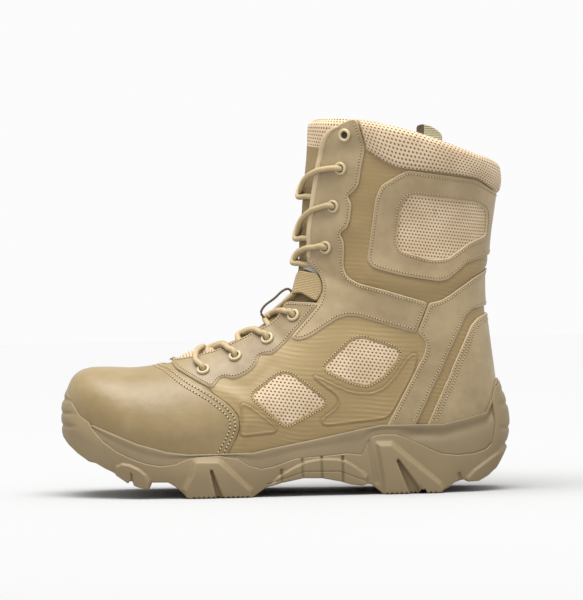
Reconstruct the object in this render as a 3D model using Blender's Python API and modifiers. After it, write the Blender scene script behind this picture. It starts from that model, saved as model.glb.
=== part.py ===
"""Tactical desert boot for the left foot, about EU 42, every piece one closed solid.

X runs along the boot with the toe at -X, the lateral side faces -Y and Z is up.
Tables and sizes are in millimetres and become metres when a mesh is made.
"""

import math
from collections import namedtuple

import bmesh
import bpy
import numpy as np
from mathutils import Vector
from mathutils.bvhtree import BVHTree

MM = 0.001
OBJECT_NAME = "tactical_desert_boot"

# Driving sizes
WALL = 2.4
GAP = 0.35
OVERLAY_THICKNESS = 1.3
CUFF_THICKNESS = 2.2
TONGUE_GAP = 1.9
TONGUE_THICKNESS = 4.5
TONGUE_HALF_WIDTH = 36.0
INSOLE_THICKNESS = 4.0
LUG_PROUD = 2.0
EYELET_RADIUS = 3.3
EYELET_WIRE = 0.95
EYELET_SEGMENTS = 9
EYELET_WIRE_SEGMENTS = 3
LACE_DIAMETER = 4.0
CORD_DIAMETER = 1.6
CENTRE_X = -0.25
CENTRE_Y = 0.38

LATERAL = -1
MEDIAL = 1
SIDES = {"lateral": LATERAL, "medial": MEDIAL}

# Sections of the upper from the toe tip to the collar. Each is a flat cut that runs from a point on the
# front ridge to a point on the lower edge or, from the heel up, to a point on the back seam.
# lateral and medial are half widths from the ridge, the base columns are the part of each that is left
# at the lower end, peak is how far along the cut is widest, bow lifts the middle of the cut,
# and facing is how far from the ridge the throat opening reaches.
Section = namedtuple("Section", "front_x front_z base_x base_z ridge_y lateral medial lateral_base "
                                "medial_base peak front_power base_power bow facing")
SECTIONS = [
    Section(-149.5, 62.0, -149.5, 62.0, 8.0, 0.0, 0.0, 0.95, 0.95, 0.62, 2.3, 2.2, 0.0, 0.0),
    Section(-147.0, 73.5, -147.3, 52.0, 8.0, 15.0, 14.0, 0.94, 0.94, 0.62, 2.3, 2.2, 0.0, 0.0),
    Section(-142.0, 81.6, -142.0, 46.0, 8.0, 26.0, 23.5, 0.94, 0.94, 0.65, 2.3, 2.2, 0.0, 0.0),
    Section(-133.5, 85.3, -133.0, 39.5, 7.5, 36.0, 32.0, 0.94, 0.94, 0.68, 2.3, 2.2, 0.0, 0.0),
    Section(-120.0, 85.7, -119.0, 31.5, 6.5, 45.0, 39.5, 0.95, 0.95, 0.70, 2.2, 2.2, 0.0, 0.0),
    Section(-102.0, 85.2, -100.0, 24.5, 5.0, 51.0, 45.5, 0.95, 0.95, 0.72, 2.1, 2.2, 0.0, 0.0),
    Section(-84.0, 88.0, -79.0, 21.0, 3.5, 54.0, 49.5, 0.95, 0.94, 0.72, 1.9, 2.2, 0.0, 0.0),
    Section(-66.0, 97.0, -58.0, 20.0, 2.5, 54.5, 49.5, 0.95, 0.93, 0.72, 1.75, 2.2, 0.0, 4.5),
    Section(-47.0, 104.0, -36.0, 20.3, 2.0, 53.0, 46.5, 0.95, 0.91, 0.70, 1.7, 2.2, 0.0, 6.0),
    Section(-28.0, 113.2, -12.0, 22.0, 1.5, 50.0, 43.0, 0.94, 0.88, 0.68, 1.7, 2.2, 0.0, 7.0),
    Section(-11.3, 124.8, 16.0, 26.0, 1.0, 46.5, 40.5, 0.93, 0.86, 0.65, 1.7, 2.2, 0.0, 9.0),
    Section(-1.8, 136.0, 46.0, 30.5, 0.5, 44.0, 39.5, 0.92, 0.87, 0.62, 1.7, 2.2, 0.0, 11.0),
    Section(3.8, 147.0, 78.0, 34.0, 0.0, 42.0, 39.5, 0.92, 0.91, 0.60, 1.75, 2.2, 0.0, 12.0),
    Section(6.3, 156.2, 106.0, 35.5, 0.0, 40.5, 39.5, 0.88, 0.88, 0.58, 1.8, 2.2, 0.0, 13.0),
    Section(7.6, 164.8, 127.0, 37.0, 0.0, 39.5, 39.5, 0.70, 0.70, 0.56, 1.8, 2.2, 0.0, 13.0),
    Section(8.5, 172.4, 139.0, 40.5, 0.0, 39.0, 39.0, 0.40, 0.40, 0.55, 1.8, 2.2, 0.0, 12.5),
    Section(9.2, 179.0, 144.3, 51.0, 0.0, 39.0, 39.0, 0.0, 0.0, 0.54, 1.8, 2.2, 0.0, 12.0),
    Section(9.9, 187.5, 142.3, 74.0, 0.0, 39.5, 39.5, 0.0, 0.0, 0.53, 1.8, 2.2, 0.5, 11.5),
    Section(10.6, 197.0, 139.5, 98.0, 0.0, 40.5, 40.5, 0.0, 0.0, 0.52, 1.8, 2.2, 1.0, 11.0),
    Section(11.3, 207.0, 136.6, 126.0, 0.0, 42.0, 42.0, 0.0, 0.0, 0.51, 1.8, 2.2, 2.0, 11.2),
    Section(12.0, 217.5, 136.2, 151.0, 0.0, 44.0, 44.0, 0.0, 0.0, 0.50, 1.8, 2.2, 3.5, 11.8),
    Section(12.7, 228.0, 139.0, 172.0, 0.0, 46.0, 46.0, 0.0, 0.0, 0.50, 1.85, 2.2, 5.0, 12.2),
    Section(13.4, 238.0, 142.0, 192.0, 0.0, 47.5, 47.5, 0.0, 0.0, 0.50, 1.9, 2.2, 6.5, 13.5),
    Section(14.0, 248.0, 144.4, 208.0, 0.0, 49.0, 49.0, 0.0, 0.0, 0.50, 1.9, 2.2, 8.0, 18.5),
    Section(15.5, 256.5, 146.3, 220.0, 0.0, 50.0, 50.0, 0.0, 0.0, 0.50, 1.95, 2.2, 9.8, 33.0),
]
THROAT_START = 6
HEEL_BACK = 16
COLLAR = len(SECTIONS) - 1

# Rim of the sole, a row for each place along the top edge where rubber meets upper. Heights first, then
# how far each edge stands out from the upper.
Rim = namedtuple("Rim", "x feather belly tread depth floor top_out belly_out base_out inner_out")
RIM = [
    Rim(-147.3, 72.2, 57.0, 43.0, 2.5, 43.5, 2.4, 6.2, 5.8, 3.4),
    Rim(-146.0, 68.8, 54.0, 39.5, 2.5, 43.0, 2.5, 6.2, 5.8, 3.1),
    Rim(-143.0, 63.2, 49.0, 35.0, 2.5, 40.5, 2.5, 6.1, 5.6, 2.4),
    Rim(-138.0, 55.5, 44.0, 30.0, 3.0, 37.0, 2.5, 5.8, 5.0, 1.7),
    Rim(-130.0, 50.0, 38.0, 24.5, 3.5, 31.5, 2.6, 5.0, 4.2, 1.1),
    Rim(-119.0, 45.3, 32.0, 19.0, 4.0, 26.0, 2.6, 4.6, 3.6, 0.8),
    Rim(-100.0, 37.2, 23.0, 8.7, 5.0, 18.7, 2.6, 4.6, 3.6, 0.8),
    Rim(-80.0, 31.6, 18.0, 3.0, 7.0, 15.5, 2.6, 4.6, 3.6, 0.8),
    Rim(-66.0, 29.8, 15.0, 0.0, 7.0, 14.5, 2.6, 4.6, 3.6, 0.8),
    Rim(-22.0, 30.2, 15.0, 0.0, 7.0, 15.5, 2.6, 4.6, 3.6, 0.8),
    Rim(-12.0, 32.4, 18.0, 6.5, 4.0, 16.5, 2.6, 4.6, 3.6, 0.8),
    Rim(11.0, 36.6, 22.0, 12.0, 2.0, 19.7, 2.6, 4.6, 3.6, 0.8),
    Rim(24.0, 39.0, 23.0, 11.8, 2.0, 21.8, 2.6, 4.6, 3.6, 0.8),
    Rim(51.0, 44.5, 22.0, 6.0, 5.0, 26.2, 2.6, 4.6, 3.6, 0.8),
    Rim(65.0, 47.0, 20.0, 0.0, 7.0, 27.6, 2.6, 4.6, 3.6, 0.8),
    Rim(106.0, 46.5, 22.0, 0.0, 7.0, 30.2, 2.8, 5.0, 3.8, 0.9),
    Rim(121.0, 49.8, 27.0, 6.8, 4.0, 30.5, 2.8, 5.6, 3.8, 1.0),
    Rim(134.5, 53.5, 32.0, 11.5, 3.0, 30.8, 3.0, 7.2, 3.4, 1.3),
    Rim(138.5, 62.5, 37.0, 15.0, 3.0, 31.0, 3.2, 9.2, 3.0, 2.2),
    Rim(140.8, 73.0, 42.0, 18.5, 3.0, 31.0, 3.4, 10.3, 2.8, 2.6),
    Rim(142.2, 75.5, 45.0, 22.0, 3.0, 31.0, 3.4, 10.8, 2.8, 2.9),
]
RIM_STATIONS = 28

# Wavy line, seen from the side, where the outsole ends and the midsole starts
WAVE_LINE = [(-134.3, 54.5), (-128.3, 46.1), (-121.3, 38.4), (-112.5, 31.9), (-103.1, 27.2), (-93.6, 23.8),
             (-84.2, 22.1), (-74.8, 23.3), (-66.0, 27.0), (-60.0, 27.9), (-45.6, 28.5), (-33.1, 26.4),
             (-25.9, 21.6), (-17.4, 19.1), (-9.0, 20.5), (5.4, 25.4), (30.6, 27.2), (40.8, 28.3),
             (51.0, 27.1), (54.9, 35.6), (58.2, 39.4), (64.9, 40.6), (74.0, 40.4), (81.2, 37.8),
             (88.3, 34.3), (98.7, 29.2), (104.4, 26.6), (114.8, 25.3), (125.2, 26.1), (135.6, 29.4),
             (140.8, 32.5), (143.9, 38.5), (145.0, 48.0), (144.7, 55.7), (137.0, 58.5), (137.0, 90.0)]

# Lugs seen from the side, each a block through the sole
LUG_BLOCKS = {
    "toe": [(-123.0, 10.0), (-123.0, 26.0), (-117.0, 28.0), (-105.5, 22.5), (-105.5, 5.0)],
    "toe_rear": [(-103.0, 5.0), (-103.0, 22.0), (-92.5, 18.0), (-91.0, 5.0)],
    "ball": [(-71.5, 6.5), (-63.5, 26.5), (-61.0, 28.0), (-45.0, 28.0), (-42.9, 27.0), (-22.0, 8.0),
             (-22.4, -2.0), (-66.8, -2.0)],
    "heel_front": [(59.2, 35.5), (60.5, 37.0), (71.5, 37.0), (73.0, 35.5), (77.5, 30.0), (76.2, 21.7),
                   (88.5, -2.0), (65.2, -2.0), (64.0, 6.0)],
    "heel_rear": [(80.5, 28.5), (98.7, 13.9), (106.0, 7.0), (105.5, -2.0), (92.8, -2.0), (79.5, 21.0)],
    "heel_end": [(121.0, 2.0), (121.0, 19.0), (128.0, 22.0), (138.0, 26.0), (165.0, 35.0), (165.0, 2.0)],
}
ARCH_TOP = [(-13.6, 7.4), (-6.3, 14.0), (3.4, 19.6), (13.2, 24.0), (22.9, 25.6), (33.4, 25.4), (40.6, 23.8),
            (47.7, 19.4), (54.9, 14.4)]
ARCH_BOTTOM_Z = 2.0
ARCH_GROOVES = [-13.0, -3.1, 10.9, 23.8, 38.1, 54.0]
ARCH_GROOVE_WIDTH = 2.0

# Grooves across the tread, seen from below: centre x, centre y, length, width and turn in degrees
Groove = namedtuple("Groove", "x y length width turn")
TREAD_GROOVES = [
    Groove(-44.0, 3.0, 70.0, 7.0, 0.0),
    Groove(-50.0, -30.0, 60.0, 4.5, 62.0),
    Groove(-50.0, 36.0, 60.0, 4.5, -62.0),
    Groove(-108.0, 8.0, 46.0, 7.0, 0.0),
    Groove(88.0, 0.0, 60.0, 7.0, 0.0),
    Groove(138.0, 0.0, 44.0, 7.0, 0.0),
]
GROOVE_DEPTH = 5.5

# Overlay outlines seen from the side
TOE_CAP = [(-84.0, 110.0), (-83.5, 93.0), (-76.0, 87.0), (-64.5, 78.6), (-48.5, 69.8), (-37.5, 62.0),
           (-31.5, 55.0), (-31.0, 46.5), (-34.0, 39.0), (-41.0, 27.0), (-170.0, 20.0), (-170.0, 110.0)]
LOWER_EYESTAY = [(-73.5, 86.3), (-51.0, 73.2), (-48.6, 72.5), (-46.0, 76.2), (-43.9, 80.2), (-40.8, 81.2),
                 (-35.1, 79.0), (-25.5, 82.5), (-18.8, 88.0), (-16.9, 95.2), (-7.8, 94.9), (2.8, 105.3),
                 (21.5, 125.8), (21.5, 150.0), (-40.0, 150.0), (-82.0, 110.0), (-79.0, 91.0)]
SHAFT_EYESTAY = [(60.0, 280.0), (51.3, 255.0), (53.9, 246.8), (56.5, 233.2), (54.5, 221.8), (52.4, 209.3),
                 (49.7, 205.2), (44.5, 201.7), (47.7, 197.0), (46.6, 184.4), (45.1, 180.3), (39.8, 176.7),
                 (42.5, 171.0), (41.4, 153.3), (43.5, 147.0), (50.8, 142.6), (69.4, 138.0), (97.4, 129.0),
                 (89.0, 108.6), (50.4, 120.2), (43.4, 120.8), (36.4, 118.6), (16.3, 106.1), (9.4, 104.3),
                 (4.2, 106.2), (24.7, 128.8), (26.8, 137.0), (26.8, 143.3), (23.7, 150.6), (14.0, 158.1),
                 (-20.0, 170.0), (-20.0, 280.0)]
COUNTER_PANEL = [(98.0, 128.8), (106.0, 130.2), (113.3, 134.7), (126.8, 144.8), (150.0, 157.0),
                 (150.0, 124.9), (127.2, 124.1), (122.3, 119.3), (113.3, 99.6), (88.3, 47.3), (84.0, 38.0),
                 (64.0, 38.0), (69.3, 47.8), (93.3, 93.1), (96.3, 102.0), (90.0, 108.6)]
HEEL_COUNTER = [(170.0, 120.3), (137.2, 119.9), (130.2, 117.2), (125.3, 112.2), (96.3, 47.5), (92.0, 30.0),
                (170.0, 30.0)]
SHAFT_FRAME = [(85.2, 218.9), (100.8, 216.3), (131.1, 211.4), (142.5, 202.8), (170.0, 200.0), (170.0, 168.0),
               (136.2, 161.3), (121.7, 155.3), (109.1, 144.3), (104.0, 143.3), (80.0, 148.1), (61.2, 153.9),
               (57.5, 158.1), (60.2, 178.9), (63.3, 199.6), (67.4, 208.9), (77.9, 214.9)]
MESH_WINDOW = [(80.0, 191.9), (83.1, 199.1), (88.3, 202.1), (131.1, 195.7), (137.0, 190.4), (135.6, 173.7),
               (125.8, 168.8), (111.2, 158.7), (100.8, 158.0), (78.9, 164.8), (76.9, 171.1)]
COLLAR_CUFF = [(57.2, 233.2), (70.0, 226.9), (78.0, 222.7), (85.0, 221.4), (101.0, 219.9), (132.3, 213.9),
               (143.0, 203.6), (170.0, 202.0), (170.0, 280.0), (52.0, 280.0), (52.0, 256.0), (54.6, 246.8)]
ANKLE_NOTCH = [(-20.0, 128.0), (22.6, 129.4), (26.8, 137.0), (26.8, 143.3), (23.7, 150.6), (14.0, 158.1),
               (-20.0, 160.0)]
LACE_LOOP = [(-20.0, 133.0), (9.0, 136.6), (11.5, 136.8), (22.0, 130.6), (26.1, 137.0), (26.1, 143.0),
             (23.0, 149.6), (11.0, 151.7), (-20.0, 147.0)]

# Eyelets from the toe up, seen from the side
EYELETS = [(-54.9, 84.9), (-33.0, 93.7), (-11.6, 105.6), (5.4, 121.8),
           (27.8, 167.2), (33.1, 195.2), (38.3, 220.6), (41.4, 243.4)]
# Each crossing starts at one eyelet and dives under the other facing at the eyelet or loop below it
LACE_CROSSINGS = [(1, 0), (2, 1), (3, 2), (5, 4), (6, 5)]
LOOP_CROSSING_FROM = 4
LOOP_PLACE = 13.7

# The webbing loops fill the notch at the ankle bend, from the ridge back to the notch's edge
LOOP_PLACES = (10.8, 14.6)
LOOP_ARCS = (5.0, 52.0)
LOOP_THICKNESS = 1.7
LOOP_DEPTH = 2.1

# The thin cord in front of the ankle bend, and the tab on the medial collar
CordStop = namedtuple("CordStop", "place arc height")
KEEPER_CORD = [
    CordStop(9.75, 4.0, -2.2),
    CordStop(9.85, 4.4, 1.8),
    CordStop(10.2, 5.0, 4.2),
    CordStop(10.7, 5.6, 4.2),
    CordStop(11.2, 6.4, 2.8),
    CordStop(11.5, 7.4, 0.9),
]
COLLAR_TAB_ARCS = (84.0, 100.0)
COLLAR_TAB_COLUMNS = 3
COLLAR_TAB_RISE = 3.4
COLLAR_TAB_THICKNESS = 2.0

COLOURS = {
    "leather": ((0.36, 0.27, 0.16, 1.0), 0.55, 0.0),
    "textile": ((0.40, 0.31, 0.19, 1.0), 0.8, 0.0),
    "mesh": ((0.56, 0.44, 0.28, 1.0), 0.85, 0.0),
    "outsole_rubber": ((0.30, 0.23, 0.13, 1.0), 0.7, 0.0),
    "midsole_rubber": ((0.34, 0.27, 0.16, 1.0), 0.65, 0.0),
    "lining": ((0.30, 0.26, 0.20, 1.0), 0.9, 0.0),
    "eyelet_enamel": ((0.62, 0.53, 0.36, 1.0), 0.35, 0.0),
    "lace_cord": ((0.50, 0.41, 0.25, 1.0), 0.85, 0.0),
    "webbing": ((0.40, 0.32, 0.18, 1.0), 0.85, 0.0),
    "dark_cord": ((0.09, 0.075, 0.05, 1.0), 0.6, 0.0),
}


def clear_scene():
    for old in list(bpy.data.objects):
        bpy.data.objects.remove(old, do_unlink=True)


def new_collection(name):
    collection = bpy.data.collections.new(name)
    bpy.context.scene.collection.children.link(collection)
    return collection


def material(name):
    existing = bpy.data.materials.get(name)
    if existing:
        return existing
    colour, roughness, metallic = COLOURS[name]
    made = bpy.data.materials.new(name)
    made.use_nodes = True
    shader = made.node_tree.nodes["Principled BSDF"]
    shader.inputs["Base Color"].default_value = colour
    shader.inputs["Roughness"].default_value = roughness
    shader.inputs["Metallic"].default_value = metallic
    made.diffuse_color = colour
    return made


def metres(point):
    return ((point[0] - CENTRE_X) * MM, (point[1] - CENTRE_Y) * MM, point[2] * MM)


def mesh_object(name, points, faces, collection, material_name=None):
    """A mesh in metres from points in millimetres."""
    mesh = bpy.data.meshes.new(name)
    mesh.from_pydata([metres(point) for point in points], [], faces)
    made = bpy.data.objects.new(name, mesh)
    collection.objects.link(made)
    if material_name:
        mesh.materials.append(material(material_name))
    return made


def face_outwards(made):
    work = bmesh.new()
    work.from_mesh(made.data)
    bmesh.ops.recalc_face_normals(work, faces=work.faces)
    work.to_mesh(made.data)
    work.free()


# The upper's surface

def smooth_row(rows, along):
    """A row on the smooth curve through all rows but the first and last, which only guide it."""
    first = min(int(along), len(rows) - 4)
    f = along - first
    p0, p1, p2, p3 = rows[first:first + 4]
    return p1 + 0.5 * f * (p2 - p0 + f * (2 * p0 - 5 * p1 + 4 * p2 - p3 + f * (3 * (p1 - p2) + p3 - p0)))


def section_values(place):
    """Every column of the section table at any place along it, on a smooth curve through the rows."""
    table = np.array([list(section) for section in SECTIONS])
    before = table[1].copy()
    before[0:2] = table[1][2:4]
    before[2:4] = table[1][0:2]
    before[5:7] = -table[1][5:7]
    after = 2 * table[-1] - table[-2]
    return Section(*smooth_row(np.vstack([before, table, after]), place))


FINE_PER_SECTION = 10
FINE_ACROSS = 96


def half_section(section, side):
    """Points along one half of a section, evenly spaced from the ridge to its lower or back end."""
    width = max(section.lateral if side == LATERAL else section.medial, 1e-4)
    left = section.lateral_base if side == LATERAL else section.medial_base
    left = min(max(left, 0.0), 0.99)
    n, m, peak = section.front_power, section.base_power, section.peak
    closing = peak + (1 - peak) / (1 - left ** m) ** (1 / m)
    last = math.asin(min(1.0, ((1 - peak) / (closing - peak)) ** (m / 2)))
    turn = np.linspace(0, math.pi / 2, FINE_ACROSS)
    fall = np.linspace(0, last, FINE_ACROSS)[1:]
    along = np.concatenate([peak * (1 - np.cos(turn).clip(0) ** (2 / n)),
                            peak + (closing - peak) * np.sin(fall) ** (2 / m)])
    out = np.concatenate([width * np.sin(turn) ** (2 / n), width * np.cos(fall).clip(0) ** (2 / m)])
    run_x = section.base_x - section.front_x
    run_z = section.base_z - section.front_z
    length = max(math.hypot(run_x, run_z), 1e-4)
    lift = section.bow * 4 * along * (1 - along)
    x = section.front_x + along * run_x - lift * run_z / length
    z = section.front_z + along * run_z + lift * run_x / length
    y = section.ridge_y + side * out
    points = np.stack([x, y, z], axis=1)
    step = np.linalg.norm(np.diff(points, axis=0), axis=1)
    arc = np.concatenate([[0], np.cumsum(step)])
    even = np.linspace(0, arc[-1], FINE_ACROSS)
    evened = np.stack([np.interp(even, arc, points[:, k]) for k in range(3)], axis=1)
    facing = np.interp(max(section.facing, 0.0) / length, along, arc) / max(arc[-1], 1e-6)
    return evened, facing, arc[-1]


class Chart:
    """The upper's outer surface: a place along the sections and a share of the way down a half."""

    def __init__(self):
        self.places = np.linspace(0, COLLAR, COLLAR * FINE_PER_SECTION + 1)
        self.points, self.normals, self.facing, self.arc = {}, {}, {}, {}
        sections = [section_values(place) for place in self.places]
        for side in SIDES.values():
            halves = [half_section(section, side) for section in sections]
            self.points[side] = np.array([half[0] for half in halves])
            self.facing[side] = np.array([half[1] for half in halves])
            self.arc[side] = np.array([half[2] for half in halves])
            along = np.gradient(self.points[side], axis=0)
            across = np.gradient(self.points[side], axis=1)
            normal = side * np.cross(along, across)
            length = np.linalg.norm(normal, axis=2, keepdims=True)
            self.normals[side] = normal / np.maximum(length, 1e-9)
        self.join_normals()

    def join_normals(self):
        """The two halves share one normal along the ridge, the back seam and the toe tip."""
        back = HEEL_BACK * FINE_PER_SECTION
        for rows, column in ((slice(None), 0), (slice(back, None), -1)):
            shared = self.normals[LATERAL][rows, column] + self.normals[MEDIAL][rows, column]
            shared[:, 1] = 0
            shared /= np.maximum(np.linalg.norm(shared, axis=1, keepdims=True), 1e-9)
            for side in SIDES.values():
                self.normals[side][rows, column] = shared
        for side in SIDES.values():
            self.normals[side][0, :] = (-1, 0, 0)

    def blend(self, table, place, share):
        row = min(max(place * FINE_PER_SECTION, 0), len(self.places) - 1.001)
        column = min(max(share * (FINE_ACROSS - 1), 0), FINE_ACROSS - 1.001)
        i, j = int(row), int(column)
        f, g = row - i, column - j
        near = table[i, j] * (1 - g) + table[i, j + 1] * g
        far = table[i + 1, j] * (1 - g) + table[i + 1, j + 1] * g
        return near * (1 - f) + far * f

    def point(self, side, place, share, offset=0.0):
        base = self.blend(self.points[side], place, share)
        if offset == 0.0:
            return base
        normal = self.blend(self.normals[side], place, share)
        return base + offset * normal / max(np.linalg.norm(normal), 1e-9)

    def facing_share(self, side, place):
        return float(np.interp(place, self.places, self.facing[side]))

    def half_length(self, side, place):
        return float(np.interp(place, self.places, self.arc[side]))

    def find(self, side, x, z):
        """The place and share whose point is seen at x, z from the side."""
        seen = self.points[side][:, :, [0, 2]]
        distance = np.hypot(seen[:, :, 0] - x, seen[:, :, 1] - z)
        row, column = np.unravel_index(np.argmin(distance), distance.shape)
        return self.places[row], column / (FINE_ACROSS - 1)

    def ray_tree(self, side):
        rows, columns = self.points[side].shape[:2]
        vertices = [Vector(point) for point in self.points[side].reshape(-1, 3)]
        polygons = []
        for i in range(rows - 1):
            for j in range(columns - 1):
                corner = i * columns + j
                polygons.append((corner, corner + 1, corner + columns + 1, corner + columns))
        return BVHTree.FromPolygons(vertices, polygons)


CHART = Chart()
TREES = {side: CHART.ray_tree(side) for side in SIDES.values()}
RAY_START = 300.0


def side_hit(side, x, z):
    """The point and outward normal of the upper that is seen at x, z from one side."""
    start = Vector((x, side * RAY_START, z))
    hit, normal, _, _ = TREES[side].ray_cast(start, Vector((0, -side, 0)))
    if hit is None:
        place, share = CHART.find(side, x, z)
        hit = Vector(CHART.point(side, place, share))
        normal = Vector(CHART.blend(CHART.normals[side], place, share))
    if normal.y * side < 0:
        normal = -normal
    return hit, normal


TOE_ROWS = 8
INSTEP_ROWS = 12
SHAFT_ROWS = 7
ROWS = np.concatenate([np.linspace(0, THROAT_START, TOE_ROWS),
                       np.linspace(THROAT_START, HEEL_BACK, INSTEP_ROWS)[1:],
                       np.linspace(HEEL_BACK, COLLAR, SHAFT_ROWS)[1:]])
COLUMNS = 8
END_CROWDING = 0.35


def column_share(side, place, column):
    """Columns crowd towards the ridge and the back, where the surface turns fastest."""
    even = column / COLUMNS
    crowded = 0.5 - 0.5 * math.cos(math.pi * even)
    share = (1 - END_CROWDING) * even + END_CROWDING * crowded
    start = CHART.facing_share(side, place) if place > THROAT_START else 0.0
    return start + (1 - start) * share


def open_surface(offset):
    """The upper's skin at a distance from its outer face: open at throat, collar and underneath."""
    points, faces, index = [], [], {}

    def vertex(side, row, column):
        place = ROWS[row]
        key = (side, row, column)
        if row == 0:
            key = "tip"
        elif column == 0 and place <= THROAT_START:
            key = ("ridge", row)
        elif column == COLUMNS and place >= HEEL_BACK:
            key = ("back", row)
        if key not in index:
            index[key] = len(points)
            points.append(CHART.point(side, place, column_share(side, place, column), offset))
        return index[key]

    for side in SIDES.values():
        for row in range(len(ROWS) - 1):
            for column in range(COLUMNS):
                corners = [vertex(side, row, column), vertex(side, row, column + 1),
                           vertex(side, row + 1, column + 1), vertex(side, row + 1, column)]
                if side == MEDIAL:
                    corners.reverse()
                for triangle in (corners[:3], corners[2:] + corners[:1]):
                    if len(set(triangle)) == 3:
                        faces.append(triangle)
    return points, faces


def shell(name, offset, thickness, outwards, material_name):
    """The upper's skin at an offset, made solid by its thickness."""
    points, faces = open_surface(offset)
    made = mesh_object(name, points, faces, PARTS, material_name)
    solid = made.modifiers.new("thickness", "SOLIDIFY")
    solid.thickness = thickness * MM
    solid.offset = 1.0 if outwards else -1.0
    solid.use_rim = True
    return made


def prism(name, outlines, near_y, far_y):
    """Closed blocks with side-view outlines, running along Y."""
    work = bmesh.new()
    for outline in outlines:
        ring = [work.verts.new(metres((x, near_y, z))) for x, z in outline]
        face = work.faces.new(ring)
        grown = bmesh.ops.extrude_face_region(work, geom=[face])
        moved = [part for part in grown["geom"] if isinstance(part, bmesh.types.BMVert)]
        bmesh.ops.translate(work, verts=moved, vec=(0, (far_y - near_y) * MM, 0))
    bmesh.ops.recalc_face_normals(work, faces=work.faces)
    mesh = bpy.data.meshes.new(name)
    work.to_mesh(mesh)
    work.free()
    return cutter_object(name, mesh)


def cutter_object(name, mesh):
    made = bpy.data.objects.new(name, mesh)
    CUTTERS.objects.link(made)
    made.hide_render = True
    made.display_type = "WIRE"
    return made


def boolean(made, operation, other):
    step = made.modifiers.new(operation.lower(), "BOOLEAN")
    step.operation = operation
    step.object = other
    step.solver = "EXACT"


def apply_modifiers(made):
    """The object as its modifiers leave it, as a plain mesh."""
    graph = bpy.context.evaluated_depsgraph_get()
    mesh = bpy.data.meshes.new_from_object(made.evaluated_get(graph))
    made.modifiers.clear()
    made.data = mesh


Y_FAR = 200.0
HEM_GAP = 0.9


def above_feather():
    """Everything seen from the side that lies clear above the sole's top edge."""
    edge = [(row.x, row.feather + HEM_GAP) for row in RIM]
    toe, heel = edge[0][1], edge[-1][1]
    return [(-Y_FAR, toe)] + edge + [(Y_FAR, heel), (Y_FAR, 2 * Y_FAR), (-Y_FAR, 2 * Y_FAR)]


def overlay(name, outline, material_name, side=None, thickness=OVERLAY_THICKNESS, window=None,
            meets_sole=False):
    """A panel cut from a thin form over the upper, on one side or through both."""
    made = shell(name, GAP, thickness, True, material_name)
    near = -Y_FAR if side in (None, LATERAL) else GAP / 2
    far = Y_FAR if side in (None, MEDIAL) else -GAP / 2
    boolean(made, "INTERSECT", prism(name + "_outline", [outline], near, far))
    if meets_sole:
        boolean(made, "INTERSECT", prism(name + "_hem", [above_feather()], -Y_FAR, Y_FAR))
    if window:
        boolean(made, "DIFFERENCE", prism(name + "_window", [window], -Y_FAR, Y_FAR))
    return made


# The sole

def rim_value(column, x):
    return float(np.interp(x, [row.x for row in RIM], [getattr(row, column) for row in RIM]))


def feather_line():
    """Where the rubber's top edge meets the upper: lateral from toe to heel, then medial back again."""
    toe, heel = RIM[0].x, RIM[-1].x
    middle, half = (toe + heel) / 2, (heel - toe) / 2
    places = [middle - half * math.cos(math.pi * k / RIM_STATIONS) for k in range(RIM_STATIONS + 1)]
    lateral = [side_hit(LATERAL, x, rim_value("feather", x))[0] for x in places[1:-1]]
    medial = [side_hit(MEDIAL, x, rim_value("feather", x))[0] for x in places[1:-1]]
    toe_tip = (toe, SECTIONS[0].ridge_y)
    heel_tip = (heel, 0.0)
    loop = [toe_tip] + [(p.x, p.y) for p in lateral] + [heel_tip] + [(p.x, p.y) for p in reversed(medial)]
    stations = places + places[-2:0:-1]
    return np.array(loop), stations


def outward_normals(loop):
    ahead = np.roll(loop, -1, axis=0) - np.roll(loop, 1, axis=0)
    normal = np.stack([-ahead[:, 1], ahead[:, 0]], axis=1)
    normal /= np.linalg.norm(normal, axis=1, keepdims=True)
    middle = loop.mean(axis=0)
    if np.sum((loop - middle) * normal) < 0:
        normal = -normal
    return normal


FEATHER, STATIONS = feather_line()
FEATHER_NORMAL = outward_normals(FEATHER)


def rim_ring(out, height):
    """One ring of points around the sole from a stand-out and a height for each station."""
    ring = []
    for point, normal, x in zip(FEATHER, FEATHER_NORMAL, STATIONS):
        place = point + normal * out(x)
        ring.append((place[0], place[1], height(x)))
    return ring


def ring_solid(name, rings, collection, material_name=None):
    """A closed solid skinned over rings, its first and last ring closed side to side."""
    count = len(STATIONS)
    points = [point for ring in rings for point in ring]
    faces = []
    for level in range(len(rings) - 1):
        for k in range(count):
            a, b = level * count + k, level * count + (k + 1) % count
            faces.append((a, b, b + count, a + count))
    half = count // 2
    for start in (0, (len(rings) - 1) * count):
        for k in range(half):
            corners = [start + k, start + k + 1, start + (count - k - 1) % count, start + (count - k) % count]
            faces.append(list(dict.fromkeys(corners)))
    made = mesh_object(name, points, faces, collection, material_name)
    face_outwards(made)
    return made


def column(name, extra=0.0):
    return lambda x: rim_value(name, x) + extra


INNER_TOP_OUT = 0.6
INNER_LEVEL = 0.36
FLOOR_IN = -1.5
FLOOR_LEDGE = 1.5
INSOLE_EDGE_GAP = 0.4
RIM_ROUND = 0.8
LUG_ROOT_OUT = 1.2
LUG_ROOT_DROP = 3.0


def inner_mid_height(x):
    feather, floor = rim_value("feather", x), rim_value("floor", x)
    return feather - INNER_LEVEL * (feather - floor)


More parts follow.
